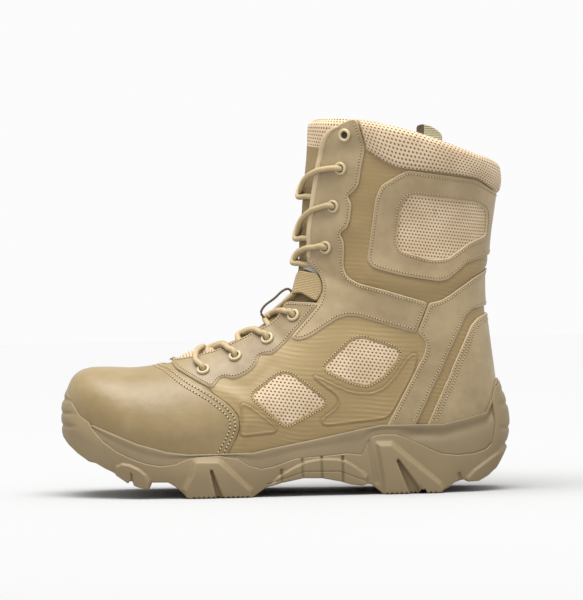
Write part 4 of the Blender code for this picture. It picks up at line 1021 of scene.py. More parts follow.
# %% Quarter and vents
VENT_FRONT = [(-22.6, 68.4), (-4.8, 81.5), (-1.0, 82.6), (4.5, 81.6), (27.4, 63.4), (26.0, 61.6),
              (1.4, 48.5), (-1.2, 48.9)]
VENT_REAR = [(26.3, 85.9), (46.3, 104.4), (53.3, 105.6), (77.3, 97.0), (76.8, 92.5), (67.3, 80.8),
             (55.3, 74.2), (43.4, 77.5)]
PRESSED_TRIANGLE = [(-30.3, 63.9), (-28.0, 63.4), (-21.8, 59.9), (-5.0, 46.1), (-5.9, 43.2), (-18.4, 42.1),
                    (-31.3, 41.0), (-29.4, 55.3)]
PRESSED_WAVE = [(18.4, 82.1), (33.4, 74.7), (45.3, 69.4), (57.3, 68.0), (67.3, 71.9), (75.3, 80.6),
                (83.3, 92.3), (88.3, 95.8), (90.3, 93.2), (87.3, 82.2), (73.3, 56.7), (68.4, 50.8),
                (58.3, 50.0), (26.3, 46.9), (22.4, 49.0), (25.4, 53.0), (34.4, 58.7), (37.0, 63.6),
                (34.4, 68.0), (27.4, 72.9), (19.4, 79.0)]
QUARTER = [(-45.0, 30.0), (-34.0, 39.0), (-31.0, 46.5), (-31.5, 55.0), (-37.5, 62.0), (-48.5, 69.8),
           (-52.0, 74.0), (-44.0, 86.0), (-14.0, 100.0), (4.0, 112.0), (18.0, 112.0), (44.0, 126.0),
           (92.0, 112.0), (98.0, 102.0), (95.0, 93.0), (72.0, 47.0), (68.0, 40.0), (30.0, 34.0),
           (0.0, 28.0), (-25.0, 24.0)]
PRESS_PROFILE = [(0.55, 0.6, 0.6), (-0.35, -0.6, 0.55)]  # height, distance inside the line, half width
PRESS_SHADE = (0.35, 0.6, 0.5)
QUARTER_STEP, QUARTER_EASE, VENT_EASE, MESH_OVERLAP = 0.8, 1.5, 2.5, 1.5
QUARTER_LIFT, VENT_LIFT, QUARTER_SPACING, VENT_SPACING = (-0.2, 0.7), (0.02, 0.3), 0.75, 3.0


def rounded(outline, ease):
    """A closed outline in even steps with its corners eased."""
    return softened(even_line(outline, QUARTER_STEP, True), ease, True)


def view_flat(spots):
    """Where spots are seen from the side."""
    return skin(*spots.T)[:, [0, 2]]


PRESSED = [rounded(PRESSED_TRIANGLE, 3.0), rounded(PRESSED_WAVE, 3.5)]
VENTS = {side: [seats(side, rounded(vent, VENT_EASE)) for vent in (VENT_FRONT, VENT_REAR)]
         for side in (LATERAL, MEDIAL)}


def pressed_relief(spots):
    """A thin raised rib along the inside of each pressed line and a groove along its outside."""
    seen = view_flat(spots)
    relief = np.zeros(len(seen))
    for line in PRESSED:
        away = line_distance(seen, line)
        signed = np.where(inside(seen, line), away, -away)
        for height, middle, half in PRESS_PROFILE:
            relief += height * np.exp(-((signed - middle) / half) ** 2)
    return relief


def shade_pressed(piece):
    """Marks the pressed lines on the mesh so that the finish can paint shade into their grooves."""
    where = np.empty(len(piece.data.vertices) * 3)
    piece.data.vertices.foreach_get("co", where)
    seen = (where.reshape(-1, 3) / MM + CENTRE)[:, [0, 2]]
    near = np.min([line_distance(seen, line) for line in PRESSED], axis=0)
    dark, middle, half = PRESS_SHADE
    layer = piece.data.attributes.new("pressed", "FLOAT", "POINT")
    layer.data.foreach_set("value", dark * np.exp(-((near - middle) / half) ** 2))


def quarter(word, side):
    outline = seats(side, rounded(QUARTER, QUARTER_EASE))
    shade_pressed(panel("quarter_" + word, outline, RIPPLE, *QUARTER_LIFT, holes=VENTS[side],
                        spacing=QUARTER_SPACING, relief=pressed_relief, slot="textile",
                        spots_of=lambda flat: seats(side, flat), flat_of=view_flat))
    for number, vent in enumerate(VENTS[side] + [WINDOWS[side]], start=1):
        ring = stepped_in(vent, False, MESH_OVERLAP, outer=False)
        panel("vent_mesh_{}_{}".format(number, word), ring, MESH, *VENT_LIFT, slot="mesh",
              spacing=VENT_SPACING)


for word, side in SIDES.items():
    quarter(word, side)

# %% [markdown]
# The sole is a moulded rubber cup. Its top edge hugs the upper along a line that climbs at toe and heel, a
# wavy step parts the midsole from the outsole, and bevelled lugs stand out of the wall and under it.
# One table gives heights and stand-outs along the boot; rings of points around the boot follow it.

# %% The sole's rim
Rim = namedtuple("Rim", "x feather belly root floor top_out belly_out base_out")
RIM = np.array([
    Rim(-147.3, 72.2, 57.0, 45.5, 43.5, 2.4, 6.2, 5.8), Rim(-146.0, 68.8, 54.0, 42.0, 43.0, 2.5, 6.2, 5.8),
    Rim(-143.0, 63.2, 49.0, 37.5, 40.5, 2.5, 6.1, 5.6), Rim(-138.0, 55.5, 44.0, 33.0, 37.0, 2.5, 5.8, 5.0),
    Rim(-130.0, 50.0, 38.0, 28.0, 31.5, 2.6, 5.0, 4.2), Rim(-119.0, 45.3, 32.0, 23.0, 26.0, 2.6, 4.6, 3.6),
    Rim(-100.0, 37.2, 23.0, 13.7, 18.7, 2.6, 4.6, 3.6), Rim(-80.0, 31.6, 18.0, 10.0, 15.5, 2.6, 4.6, 3.6),
    Rim(-66.0, 29.8, 15.0, 7.0, 14.5, 2.6, 4.6, 3.6), Rim(-22.0, 30.2, 15.0, 7.0, 15.5, 2.6, 4.6, 3.6),
    Rim(-12.0, 32.4, 18.0, 10.5, 16.5, 2.6, 4.6, 3.6), Rim(11.0, 36.6, 22.0, 14.0, 19.7, 2.6, 4.6, 3.6),
    Rim(24.0, 39.0, 23.0, 13.8, 21.8, 2.6, 4.6, 3.6), Rim(51.0, 44.5, 22.0, 11.0, 26.2, 2.6, 4.6, 3.6),
    Rim(65.0, 47.0, 20.0, 7.0, 27.6, 2.6, 4.6, 3.6), Rim(106.0, 46.5, 22.0, 7.0, 30.2, 2.8, 5.0, 3.8),
    Rim(121.0, 49.8, 27.0, 10.8, 30.5, 2.8, 5.6, 3.8), Rim(134.5, 53.5, 32.0, 14.5, 30.8, 3.0, 7.2, 3.4),
    Rim(138.5, 62.5, 37.0, 18.0, 31.0, 3.2, 9.2, 3.0), Rim(140.8, 73.0, 42.0, 21.5, 31.0, 3.4, 10.3, 2.8),
    Rim(142.2, 75.5, 45.0, 25.0, 31.0, 3.4, 10.8, 2.8)])
WAVE = np.array([(-160.0, 90.0), (-134.3, 54.5), (-128.3, 46.1), (-121.3, 38.4), (-112.5, 31.9),
                 (-103.1, 27.2), (-93.6, 23.8), (-84.2, 22.1), (-74.8, 23.3), (-66.0, 27.0), (-60.0, 27.9),
                 (-45.6, 28.5), (-33.1, 26.4), (-25.9, 21.6), (-17.4, 19.1), (-9.0, 20.5), (5.4, 25.4),
                 (30.6, 27.2), (40.8, 28.3), (51.0, 27.1), (54.9, 35.6), (58.2, 39.4), (64.9, 40.6),
                 (74.0, 40.4), (81.2, 37.8), (88.3, 34.3), (98.7, 29.2), (104.4, 26.6), (114.8, 25.3),
                 (125.2, 26.1), (132.0, 28.6), (135.5, 32.5), (137.2, 45.0), (138.4, 66.0), (150.0, 90.0)])
BOTTOM = np.array([(-147.3, 43.5), (-146.0, 40.0), (-143.0, 35.6), (-138.0, 30.2), (-131.4, 25.0),
                   (-127.0, 24.0), (-121.3, 20.5), (-116.3, 18.1), (-108.7, 12.8), (-105.6, 10.6),
                   (-104.6, 12.2), (-103.2, 12.0), (-102.2, 9.4), (-99.9, 8.3), (-93.6, 6.5), (-91.8, 6.7),
                   (-90.5, 11.1), (-79.7, 11.1), (-74.8, 8.2), (-69.7, 3.6), (-66.6, 0.6), (-65.0, 0.0),
                   (-24.0, 0.0), (-22.2, 0.8), (-14.3, 6.3), (-3.7, 9.3), (11.2, 12.1), (23.6, 11.8),
                   (35.7, 9.4), (42.9, 7.3), (51.1, 6.1), (54.5, 7.5), (57.2, 6.9), (63.5, 1.5),
                   (65.4, 0.0), (89.6, 0.0), (90.6, 2.6), (92.6, 2.6), (93.6, 0.0), (100.4, 0.0),
                   (103.4, 0.8), (109.0, 3.6), (112.8, 6.8), (118.9, 8.4), (121.0, 6.9), (127.8, 7.0),
                   (134.5, 10.5), (138.5, 14.6), (140.8, 18.3), (142.2, 21.5)])
HALF_STATIONS, TIP_Y, HEEL_Y, LOOP_EASE, OUTWARD_EASE = 560, 8.0, 0.0, 6, 5


def rim(column, x):
    return np.interp(x, RIM[:, 0], RIM[:, Rim._fields.index(column)])


def rim_loop():
    """Points round the feather edge, lateral from toe to heel, then medial back, with outward directions."""
    toe, heel = RIM[0, 0], RIM[-1, 0]
    turn = np.linspace(0, math.pi, HALF_STATIONS + 1)
    x = (toe + heel) / 2 - (heel - toe) / 2 * np.cos(turn)
    sides = []
    for side in (LATERAL, MEDIAL):
        y = skin(*seat(side, x[1:-1], rim("feather", x[1:-1])))[:, 1]
        sides.append(np.concatenate([[TIP_Y], y, [HEEL_Y]]))
    loop = np.vstack([np.stack([x, sides[0]], 1), np.stack([x, sides[1]], 1)[-2:0:-1]])
    loop = softened(loop, LOOP_EASE, True)
    ahead = np.roll(loop, -1, axis=0) - np.roll(loop, 1, axis=0)
    out = unit(softened(unit(np.stack([ahead[:, 1], -ahead[:, 0]], axis=1)), OUTWARD_EASE, True))
    if np.sum((loop - loop.mean(axis=0)) * out) < 0:
        out = -out
    return loop, out, np.concatenate([x, x[-2:0:-1]])


LOOP, OUTWARD, STATION = rim_loop()
FEATHER, BELLY, ROOT, FLOOR, TOP_OUT, BELLY_OUT, BASE_OUT = (rim(name, STATION) for name in Rim._fields[1:])
WAVE_Z = np.interp(STATION, WAVE[:, 0], WAVE[:, 1])
SERRATED, SERRATION, SERRATION_PITCH = [(-64.0, -25.0), (66.0, 101.0)], 1.1, 3.2
BOTTOM_Z = np.interp(STATION, BOTTOM[:, 0], BOTTOM[:, 1])
for first, last in SERRATED:
    here = (STATION > first) & (STATION < last)
    BOTTOM_Z = BOTTOM_Z + here * SERRATION * np.sin((STATION - first) * math.pi / SERRATION_PITCH) ** 2
HIDDEN = smooth_step(WAVE_Z - FEATHER, -2.0, 0.5)


def wall_out(z):
    """How far the plain wall stands out at a height, full at the belly and drawn in above and below."""
    upper = ((FEATHER - z) / (FEATHER - BELLY)).clip(0, 1)
    lower = ((BELLY - z) / np.maximum(BELLY - np.minimum(BOTTOM_Z, ROOT), 1.0)).clip(0, 1.2)
    return np.where(z > BELLY, TOP_OUT + (BELLY_OUT - TOP_OUT) * np.sin(upper * math.pi / 2),
                    BELLY_OUT - (BELLY_OUT - BASE_OUT) * lower ** 2)


def ring_at(out, z):
    return np.column_stack([LOOP + OUTWARD * np.broadcast_to(out, z.shape)[:, None], z])


print("sole stations:", len(STATION))

# %% [markdown]
# Lugs are what grip. From the side each is a block with bevelled edges; the relief at a spot on the wall is
# read from how deep it lies inside such an outline, so edges stay soft as they leave the mould.

# %% Relief of the outsole wall
LUGS = {  # outline from the side, how proud it stands, width of its bevel
    "toe": ([(-116.5, 10.0), (-115.6, 22.6), (-110.8, 24.8), (-105.5, 24.0), (-98.9, 20.9), (-94.1, 17.0),
             (-91.4, 11.6), (-91.0, -4.0)], 2.0, 1.7),
    "ball": ([(-71.5, 6.5), (-66.5, 15.5), (-63.6, 26.0), (-60.7, 27.7), (-45.3, 27.5), (-42.0, 25.4),
              (-22.2, 6.0), (-20.4, -6.0), (-68.8, -6.0)], 3.3, 4.0),
    "heel_front": ([(59.6, 35.0), (61.0, 36.4), (72.0, 36.4), (104.9, 8.2), (107.5, 4.0), (107.5, -6.0),
                    (64.6, -6.0), (63.4, 11.0)], 3.3, 3.8),
    "heel_end": ([(120.6, -6.0), (120.8, 10.0), (126.0, 15.4), (137.9, 23.6), (149.4, 31.2), (165.0, 36.0),
                  (165.0, -6.0)], 1.7, 2.2),
    "arch": ([(-13.6, 2.0), (-13.6, 6.0), (-6.3, 14.0), (3.4, 19.6), (13.2, 24.0), (22.9, 25.6), (33.4, 25.4),
              (40.6, 23.8), (47.7, 19.4), (55.2, 13.2), (55.2, 2.0)], 2.0, 1.5),
}
CUTS = [  # grooves in the wall: line, half width at its two ends, depth
    ([(-50.6, 18.5), (-44.6, -3.0)], 0.8, 2.6, 4.0),
    ([(75.4, 22.5), (89.0, -3.0)], 1.0, 4.6, 4.6),
    ([(-104.2, 17.0), (-103.6, 5.0)], 0.7, 1.2, 1.6),
    ([(-3.1, 1.0), (-3.1, 18.0)], 0.8, 0.8, 1.8), ([(10.9, 2.0), (10.9, 25.0)], 0.8, 0.8, 1.8),
    ([(23.8, 2.0), (23.8, 27.0)], 0.8, 0.8, 1.8), ([(38.1, 2.0), (38.1, 26.0)], 0.8, 0.8, 1.8),
    ([(56.0, 36.0), (61.0, 9.0)], 1.2, 1.8, 0.9),
    ([(-13.0, 8.6), (12.0, 16.6), (36.0, 16.2), (54.0, 9.4)], 0.6, 0.6, 0.5),
    ([(117.0, 12.5), (119.0, 4.0)], 1.2, 2.0, 1.6),
]
SCALLOPS = [  # ends of the sole: direction, where they begin and are full, heights
    (-1, 139.0, 150.0, [66.0, 57.0, 48.5]), (1, 142.0, 151.0, [67.0, 57.9, 42.0, 31.0]),
]
SCALLOP_DEEP, SCALLOP_HALF = 0.9, 1.5


def wall_relief(x, z):
    seen = np.stack([x, z], axis=1)
    height = np.zeros(len(x))
    for outline, proud, bevel in LUGS.values():
        ring = np.array(outline)
        depth = np.where(inside(seen, ring), line_distance(seen, ring), 0.0)
        height = np.maximum(height, proud * smooth_step(depth, 0.0, bevel))
    for line, first, last, deep in CUTS:
        line = np.array(line)
        near = line_distance(seen, line, closed=False)
        run = line[-1] - line[0]
        along = (((seen - line[0]) @ run) / (run @ run)).clip(0, 1)
        half = first + (last - first) * along
        height -= deep * (1 - smooth_step(near / half, 0.45, 1.25))
    for direction, begin, full, levels in SCALLOPS:
        here = smooth_step(direction * x, begin, full)
        for level in levels:
            height -= here * SCALLOP_DEEP * np.exp(-((z - level) / SCALLOP_HALF) ** 2)
    return height


def relieved(out, z):
    ring = ring_at(out, z)
    return out + wall_relief(ring[:, 0], ring[:, 2])


print("lug outlines:", len(LUGS))

# %% [markdown]
# Now the rings are stacked. The midsole is a closed band behind the wavy step; the outsole runs from the step
# down the wall, round the bottom edge and in under the foot to a line down the middle.

# %% Midsole and outsole
BAND_ROWS, WALL_RINGS, UNDER_ROWS, SPINE_SHARE = 20, 46, 26, 0.985
BAND_LEAST, BAND_DROP, BAND_PULL = 1.6, 2.0, 2.4
HOLLOW, HOLLOW_AT, HOLLOW_HALF, HOLLOW_FROM = 1.5, 6.5, 3.6, (70.0, 92.0)
GROOVES = [  # under the tread: centre x, y, length, width, turn
    (-44.0, 3.0, 70.0, 7.0, 0.0), (-50.0, -30.0, 60.0, 4.5, 62.0), (-50.0, 36.0, 60.0, 4.5, -62.0),
    (-108.0, 8.0, 46.0, 7.0, 0.0), (88.0, 0.0, 60.0, 7.0, 0.0), (138.0, 0.0, 44.0, 7.0, 0.0),
]


def groove_depth(x, y):
    cut = np.zeros(len(x))
    for gx, gy, length, width, turn in GROOVES:
        a = math.radians(turn)
        u = (x - gx) * math.cos(a) + (y - gy) * math.sin(a)
        v = -(x - gx) * math.sin(a) + (y - gy) * math.cos(a)
        here = (1 - smooth_step(np.abs(u), length / 2 - 1, length / 2 + 1)) * \
               (1 - smooth_step(np.abs(v), width / 2 - 0.8, width / 2 + 0.8))
        cut = np.maximum(cut, here)
    return cut


def drawn_in(edge, shares):
    """Rings between an edge and the line down the middle of the sole."""
    spine = (edge + edge[(-np.arange(len(STATION))) % len(STATION)]) / 2
    return [(t, edge * (1 - t) + spine * t) for t in shares]


def ring_piece(name, rings, material, replaces, closed_rows):
    count = len(STATION)
    points = np.vstack(rings)
    faces = grid_faces(len(rings), count, wrap_columns=True, wrap_rows=closed_rows)
    if not closed_rows:
        for start in (0, (len(rings) - 1) * count):
            for k in range(count // 2):
                corners = [k, k + 1, (count - k - 1) % count, (count - k) % count]
                faces.append([start + corner for corner in dict.fromkeys(corners)])
    layers = {"knit_u": points[:, 0], "knit_v": points[:, 1]}
    turn_outwards(new_piece(name, points, faces, [material], replaces, layers))


def midsole():
    """A band that is drawn in and down out of sight where the step climbs past the feather edge."""
    low = np.minimum(WAVE_Z, FEATHER - BAND_LEAST)
    drop, pull = BAND_DROP * HIDDEN, BAND_PULL * HIDDEN
    rings = [ring_at(out - pull, z - drop) for out, z in [
        (-2.0, low - 0.8), (-2.0, FEATHER - 2.0), (1.2, FEATHER - 0.5), (1.7, FEATHER),
        (TOP_OUT - 0.35, FEATHER - 0.05), (TOP_OUT - 0.05, FEATHER - 0.4)]]
    for t in np.linspace(0, 1, BAND_ROWS):
        z = (FEATHER - 0.9) + (low - FEATHER + 0.9) * t - drop
        hollow = HOLLOW * np.exp(-((FEATHER - z - HOLLOW_AT) / HOLLOW_HALF) ** 2)
        hollow = hollow * smooth_step(STATION, *HOLLOW_FROM)
        rings.append(ring_at(wall_out(z) - 0.9 * smooth_step(t, 0.0, 0.5) - hollow - pull, z))
    rings.append(ring_at(wall_out(low) - 3.0 - pull, low - 0.8 - drop))
    ring_piece("midsole_band", rings, MIDSOLE, ["midsole"], True)


def outsole():
    top = np.where(WAVE_Z < FEATHER, WAVE_Z, FEATHER + 0.3)
    inner = np.minimum(top - 1.5, FLOOR + 2.0)
    rings = [ring_at(-3.0, np.maximum(FLOOR - 1.0, BOTTOM_Z + 3.0)), ring_at(-1.0, inner),
             ring_at(wall_out(top) - 1.6, top - 0.25), ring_at(wall_out(top) - 0.55, top),
             ring_at(relieved(wall_out(top) - 0.12, top), top - 0.22)]
    for t in np.linspace(0, 1, WALL_RINGS):
        z = (top - 0.6) + (BOTTOM_Z + 0.8 - top + 0.6) * t
        rings.append(ring_at(relieved(wall_out(z), z), z))
    low_out = relieved(wall_out(BOTTOM_Z), BOTTOM_Z + 0.8)
    rings += [ring_at(low_out - 0.25, BOTTOM_Z + 0.22), ring_at(low_out - 0.8, BOTTOM_Z)]
    edge = ring_at(low_out - 1.2, BOTTOM_Z)
    for t, ring in drawn_in(edge, np.linspace(0, SPINE_SHARE, UNDER_ROWS)):
        deep = groove_depth(ring[:, 0], ring[:, 1]) * np.maximum(ROOT - BOTTOM_Z - 0.5, 0.0)
        ring[:, 2] = BOTTOM_Z + deep * smooth_step(t, 0.0, 0.06)
        rings.append(ring)
    ring_piece("outsole_cup", rings, OUTSOLE, ["outsole"], False)


midsole()
outsole()

# %% [markdown]
# The cuff is foam under spacer mesh, turned over the collar and sewn down along its lower edge.
# It is worked as one closed skin: up the outside with a soft swell, over the rim and down inside the shaft.

# %% Padded cuff
CUFF_EDGE = [(BACK, 201.5), (142.0, 202.6), (138.4, 207.0), (133.0, 211.6), (122.5, 214.4), (102.0, 217.4),
             (85.8, 219.4), (77.6, 221.0), (71.0, 224.4), (57.0, 232.9)]
CUFF_FRONT = [(57.0, 232.9), (54.4, 246.8), (51.9, 254.6)]
CUFF_TOP, CUFF_STEP, CUFF_COLUMNS, CUFF_ARC_ROW = COLLAR - 0.22, 0.8, 241, 12
CUFF_RISE = [100.0, 112.0, 122.0, 132.0, 142.0], [0.0, 0.2, 0.7, 1.8, 3.5]  # extra height at each x
CUFF_TUCK, CUFF_FULL, CUFF_SWELL = 0.15, 2.6, 1.5
CUFF_OUTSIDE = [(0.0, CUFF_TUCK), (0.004, 1.0), (0.02, 1.9), (0.06, CUFF_FULL)]  # share of the way up, lift
CUFF_OUTSIDE += [(v, CUFF_FULL + CUFF_SWELL * math.sin(math.pi * v) ** 0.7)
                 for v in np.linspace(0.12, 0.94, 22)]
CUFF_OUTSIDE += [(1.0, 1.9)]
CUFF_RIM = [(1.3, 0.9), (0.2, 1.5), (-1.6, 1.7), (-3.4, 1.1), (-4.4, 0.0)]  # lift, height over the top
CUFF_DROP = 1.3
CUFF_INSIDE = [(0.25, -4.9), (0.6, -5.0), (1.0, -4.4), (1.25, -3.2), (CUFF_DROP, -2.5)]  # drop, lift
CUFF_HIDDEN = [(0.8, -1.2), (0.3, -1.0)]


def cuff_row(share_up, lines, columns):
    """Spots across the cuff at one share of the way up from its sewn edge, measured from the back seam."""
    row = []
    for s in columns:
        low, front = lines[LATERAL if s < 0 else MEDIAL]
        reach = np.abs(front[:, 1])
        first = np.interp(abs(s) * reach[0], np.abs(low[:, 1]), low[:, 0])
        place = first + (CUFF_TOP - first) * share_up
        row.append((place, math.copysign(abs(s) * np.interp(place, front[:, 0], reach), s if s else 1)))
    return np.array(row)


def padded_cuff():
    lines = {side: [folded(traced(side, CUFF_EDGE, False, CUFF_STEP)),
                    folded(traced(side, CUFF_FRONT, False, CUFF_STEP, 0))] for side in (LATERAL, MEDIAL)}
    columns = np.linspace(-1, 1, CUFF_COLUMNS)
    fade = smooth_step(1 - np.abs(columns), 0.0, 0.02)
    points = []
    for share_up, lift in CUFF_OUTSIDE:
        top = cuff_row(share_up, lines, columns)
        points.append(on_skin(top, True, CUFF_TUCK + (lift - CUFF_TUCK) * fade))
    taller = np.interp(points[-1][:, 0], *CUFF_RISE)
    for row, (share_up, _) in enumerate(CUFF_OUTSIDE):
        points[row] = points[row] + np.outer(taller * share_up ** 4, UP)
    for lift, up in CUFF_RIM:
        points.append(on_skin(top, True, lift) + np.outer(taller + up, UP))
    for drop, lift in CUFF_INSIDE:
        points.append(on_skin(top - (drop, 0.0), True, lift) + np.outer(taller * (1 - drop / CUFF_DROP), UP))
    for drop, lift in CUFF_HIDDEN:
        points.append(on_skin(top - (drop, 0.0), True, lift))
    count = len(points)
    faces = grid_faces(count, CUFF_COLUMNS, wrap_rows=True) + end_faces(count, CUFF_COLUMNS)
    steps = np.linalg.norm(np.diff(np.array(points), axis=0), axis=2).mean(axis=1)
    layers = {"knit_u": np.tile(lengths_along(points[CUFF_ARC_ROW]), count),
              "knit_v": np.repeat(np.concatenate([[0], np.cumsum(steps)]), CUFF_COLUMNS)}
    piece = new_piece("padded_cuff", np.vstack(points), faces, [MESH], ["collar_cuff"], layers)
    turn_outwards(piece)


padded_cuff()

# %% [markdown]
# The tongue is padded cloth behind the lacing, faced with spacer mesh at its top and its foot.
# It lies under both facings, thick in the middle and thinner towards its edges.

# %% Tongue
TONGUE_TOP, TONGUE_CORNER, TONGUE_LEAN, TONGUE_CAP, TONGUE_UNDER = COLLAR - 0.26, 0.55, 4.2, 0.8, -9.2
TONGUE_REACH, TONGUE_FLARE = 36.0, 22.0
TONGUE_ROWS, CORNER_ROWS, CAP_ROWS, TONGUE_COLUMNS = 126, 11, 9, 49
TONGUE_FOOT_MESH, TONGUE_TOP_MESH = 8.0, 21.75
TONGUE_DEPTH = [6.0, 12.2, 14.6, 18.5, 21.0], [6.4, 5.4, 3.2, 3.4, 4.5]  # place, depth
PUFF, PUFF_HALF, PUFF_RISE, PUFF_FALL = 6.0, 11.0, (6.15, 6.6), (7.2, 8.4)


def arc_share(place, arc):
    """Signed share at an arc in millimetres from the ridge, minus for lateral."""
    lateral, medial = (np.interp(place, PLACES, length) for length in LENGTH)
    return np.asarray(arc) / np.where(np.asarray(arc) < 0, lateral, medial)


def tongue():
    corner = TONGUE_TOP - TONGUE_CORNER
    rows = np.concatenate([np.linspace(THROAT_START + 0.05, corner, TONGUE_ROWS),
                           np.linspace(corner, TONGUE_TOP, CORNER_ROWS)[1:]])
    arcs = np.linspace(-1, 1, TONGUE_COLUMNS)
    edge = np.abs(arcs) ** 6
    top, under = [], []
    for place in rows:
        arc = arcs * (TONGUE_REACH * min(1.0, 0.62 + 0.38 * (place - THROAT_START) / 4) +
                      TONGUE_FLARE * smooth_step(place, 19.5, 22.5))
        share = arc_share(place, arc)
        puff = PUFF * smooth_step(place, *PUFF_RISE) * (1 - smooth_step(place, *PUFF_FALL))
        turned = max(0.0, (place - corner) / TONGUE_CORNER * 0.98)
        lean = TONGUE_LEAN * (1 - math.sqrt(1 - turned ** 2))
        deep = np.interp(place, *TONGUE_DEPTH)
        top.append(skin(place, share, -deep - 1.2 * edge + puff * np.exp(-(arc / PUFF_HALF) ** 2) - lean))
        under.append(skin(place, share, TONGUE_UNDER + 0.7 * edge))
    for angle in np.linspace(0, math.pi, CAP_ROWS)[1:-1]:
        blend = (1 - math.cos(angle)) / 2
        top.append(top[len(rows) - 1] * (1 - blend) + under[-1] * blend + TONGUE_CAP * math.sin(angle) * UP)
    outline = top + under[::-1]
    count = len(outline)
    points = np.vstack(outline)
    faces = grid_faces(count, len(arcs), wrap_rows=True)
    indices = []
    for i in range(count):
        here = rows[min(i, len(rows) - 1)] if i < len(top) else rows[max(count - 1 - i, 0)]
        indices += [1 if here > TONGUE_TOP_MESH or here < TONGUE_FOOT_MESH else 0] * (len(arcs) - 1)
    closing = [[i, i + 1, count - 2 - i, count - 1 - i] for i in range(len(rows) - 1)]
    closing.append(list(range(len(rows) - 1, len(top) + 1)))
    for end in (0, len(arcs) - 1):
        faces += [[i * len(arcs) + end for i in corners] for corners in closing]
        indices += [0] * len(closing)
    along = lengths_along(np.array([row[len(arcs) // 2] for row in outline]))
    layers = {"knit_u": np.tile(arcs * (TONGUE_REACH + TONGUE_FLARE), count),
              "knit_v": np.repeat(along, len(arcs))}
    piece = new_piece("padded_tongue", points, faces, [TONGUE_CLOTH, MESH], ["tongue"], layers,
                      indices)
    turn_outwards(piece)


tongue()

# %% [markdown]
# The upper facings are bound along the throat with a narrow pale strip folded over the edge.

# %% Facing binding
BINDING_PLACES, BINDING_ROWS = (14.75, 23.35), 90
BINDING_SECTION = [(4.4, 1.6), (3.9, 2.1), (2.2, 2.3), (0.2, 2.0), (-0.55, 1.0), (-0.75, -0.3), (-0.5, -1.8),
                   (0.4, -2.7), (2.6, -2.75), (3.4, -1.0)]


def binding(word, side):
    rows = np.linspace(*BINDING_PLACES, BINDING_ROWS)
    length = np.interp(rows, PLACES, LENGTH[HALF[side]])
    edge = facing_share(side, rows)
    points = np.array([skin(rows, edge + side * out / length, lift) for out, lift in BINDING_SECTION])
    points = points.transpose(1, 0, 2)
    width = len(BINDING_SECTION)
    faces = grid_faces(len(rows), width, wrap_columns=True)
    faces += [list(range(width)), [(len(rows) - 1) * width + k for k in range(width)]]
    piece = new_piece("facing_binding_" + word, points.reshape(-1, 3), faces, [BINDING])
    turn_outwards(piece)


for word, side in SIDES.items():
    binding(word, side)

# %% [markdown]
# Inside lies a footbed: a thin foam sheet faced with cloth, dished a little along its middle.

# %% Footbed
BED_EDGE = [(-2.2, 0.6), (-2.0, 3.6), (-2.6, 4.3), (-4.0, 4.5)]  # out and up from the floor's edge
BED_IN, BED_TOP, BED_DISH, BED_ROWS = -4.0, 4.4, 0.8, 10


def footbed():
    rings = [ring_at(out, FLOOR + lift) for out, lift in BED_EDGE]
    for t, ring in drawn_in(ring_at(BED_IN, FLOOR + BED_TOP), np.linspace(0.08, 0.98, BED_ROWS)):
        ring[:, 2] -= BED_DISH * smooth_step(t, 0.0, 0.6)
        rings.append(ring)
    ring_piece("footbed", rings, LINING, ["insole"], False)


footbed()

# %% [markdown]
# Eyelets are rolled metal rings, enamelled cream. One small ring is drawn by nodes and set on every spot,
# turned to face outwards, so all sixteen stay alike. A flat dark disc inside each ring is painted shade in
# the hole.

# %% Setting shapes along the surface


def node_tree(name, inputs):
    """A tree that takes points and some numbers, and the sockets where they come in."""
    tree = bpy.data.node_groups.new(name, "GeometryNodeTree")
    tree.interface.new_socket("Geometry", in_out="INPUT", socket_type="NodeSocketGeometry")
    for label in inputs:
        tree.interface.new_socket(label, in_out="INPUT", socket_type="NodeSocketFloat")
    tree.interface.new_socket("Geometry", in_out="OUTPUT", socket_type="NodeSocketGeometry")
    return tree, tree.nodes.new("NodeGroupInput").outputs


def tree_node(tree, kind, settings, links):
    """A new node's first output."""
    made = tree.nodes.new(kind)
    for key, value in settings.items():
        setattr(made, key, value)
    for key, value in links.items():
        if isinstance(value, bpy.types.NodeSocket):
            tree.links.new(value, made.inputs[key])
        else:
            made.inputs[key].default_value = value
    return made.outputs[0]


def set_along(tree, points, shape, material):
    """Ends a tree: the shape on every point, turned to the point's own along and out, made real."""
    along, out = (tree_node(tree, "GeometryNodeInputNamedAttribute", {"data_type": "FLOAT_VECTOR"},
                            {"Name": name}) for name in ("along", "out"))
    turn = tree_node(tree, "FunctionNodeAxesToRotation", {"primary_axis": "Z", "secondary_axis": "X"},
                     {0: out, 1: along})
    placed = tree_node(tree, "GeometryNodeInstanceOnPoints", {},
                       {"Points": points, "Instance": shape, "Rotation": turn})
    real = tree_node(tree, "GeometryNodeRealizeInstances", {}, {0: placed})
    smooth = tree_node(tree, "GeometryNodeSetShadeSmooth", {}, {0: real})
    painted = tree_node(tree, "GeometryNodeSetMaterial", {}, {"Geometry": smooth, "Material": material})
    tree.links.new(painted, tree.nodes.new("NodeGroupOutput").inputs[0])


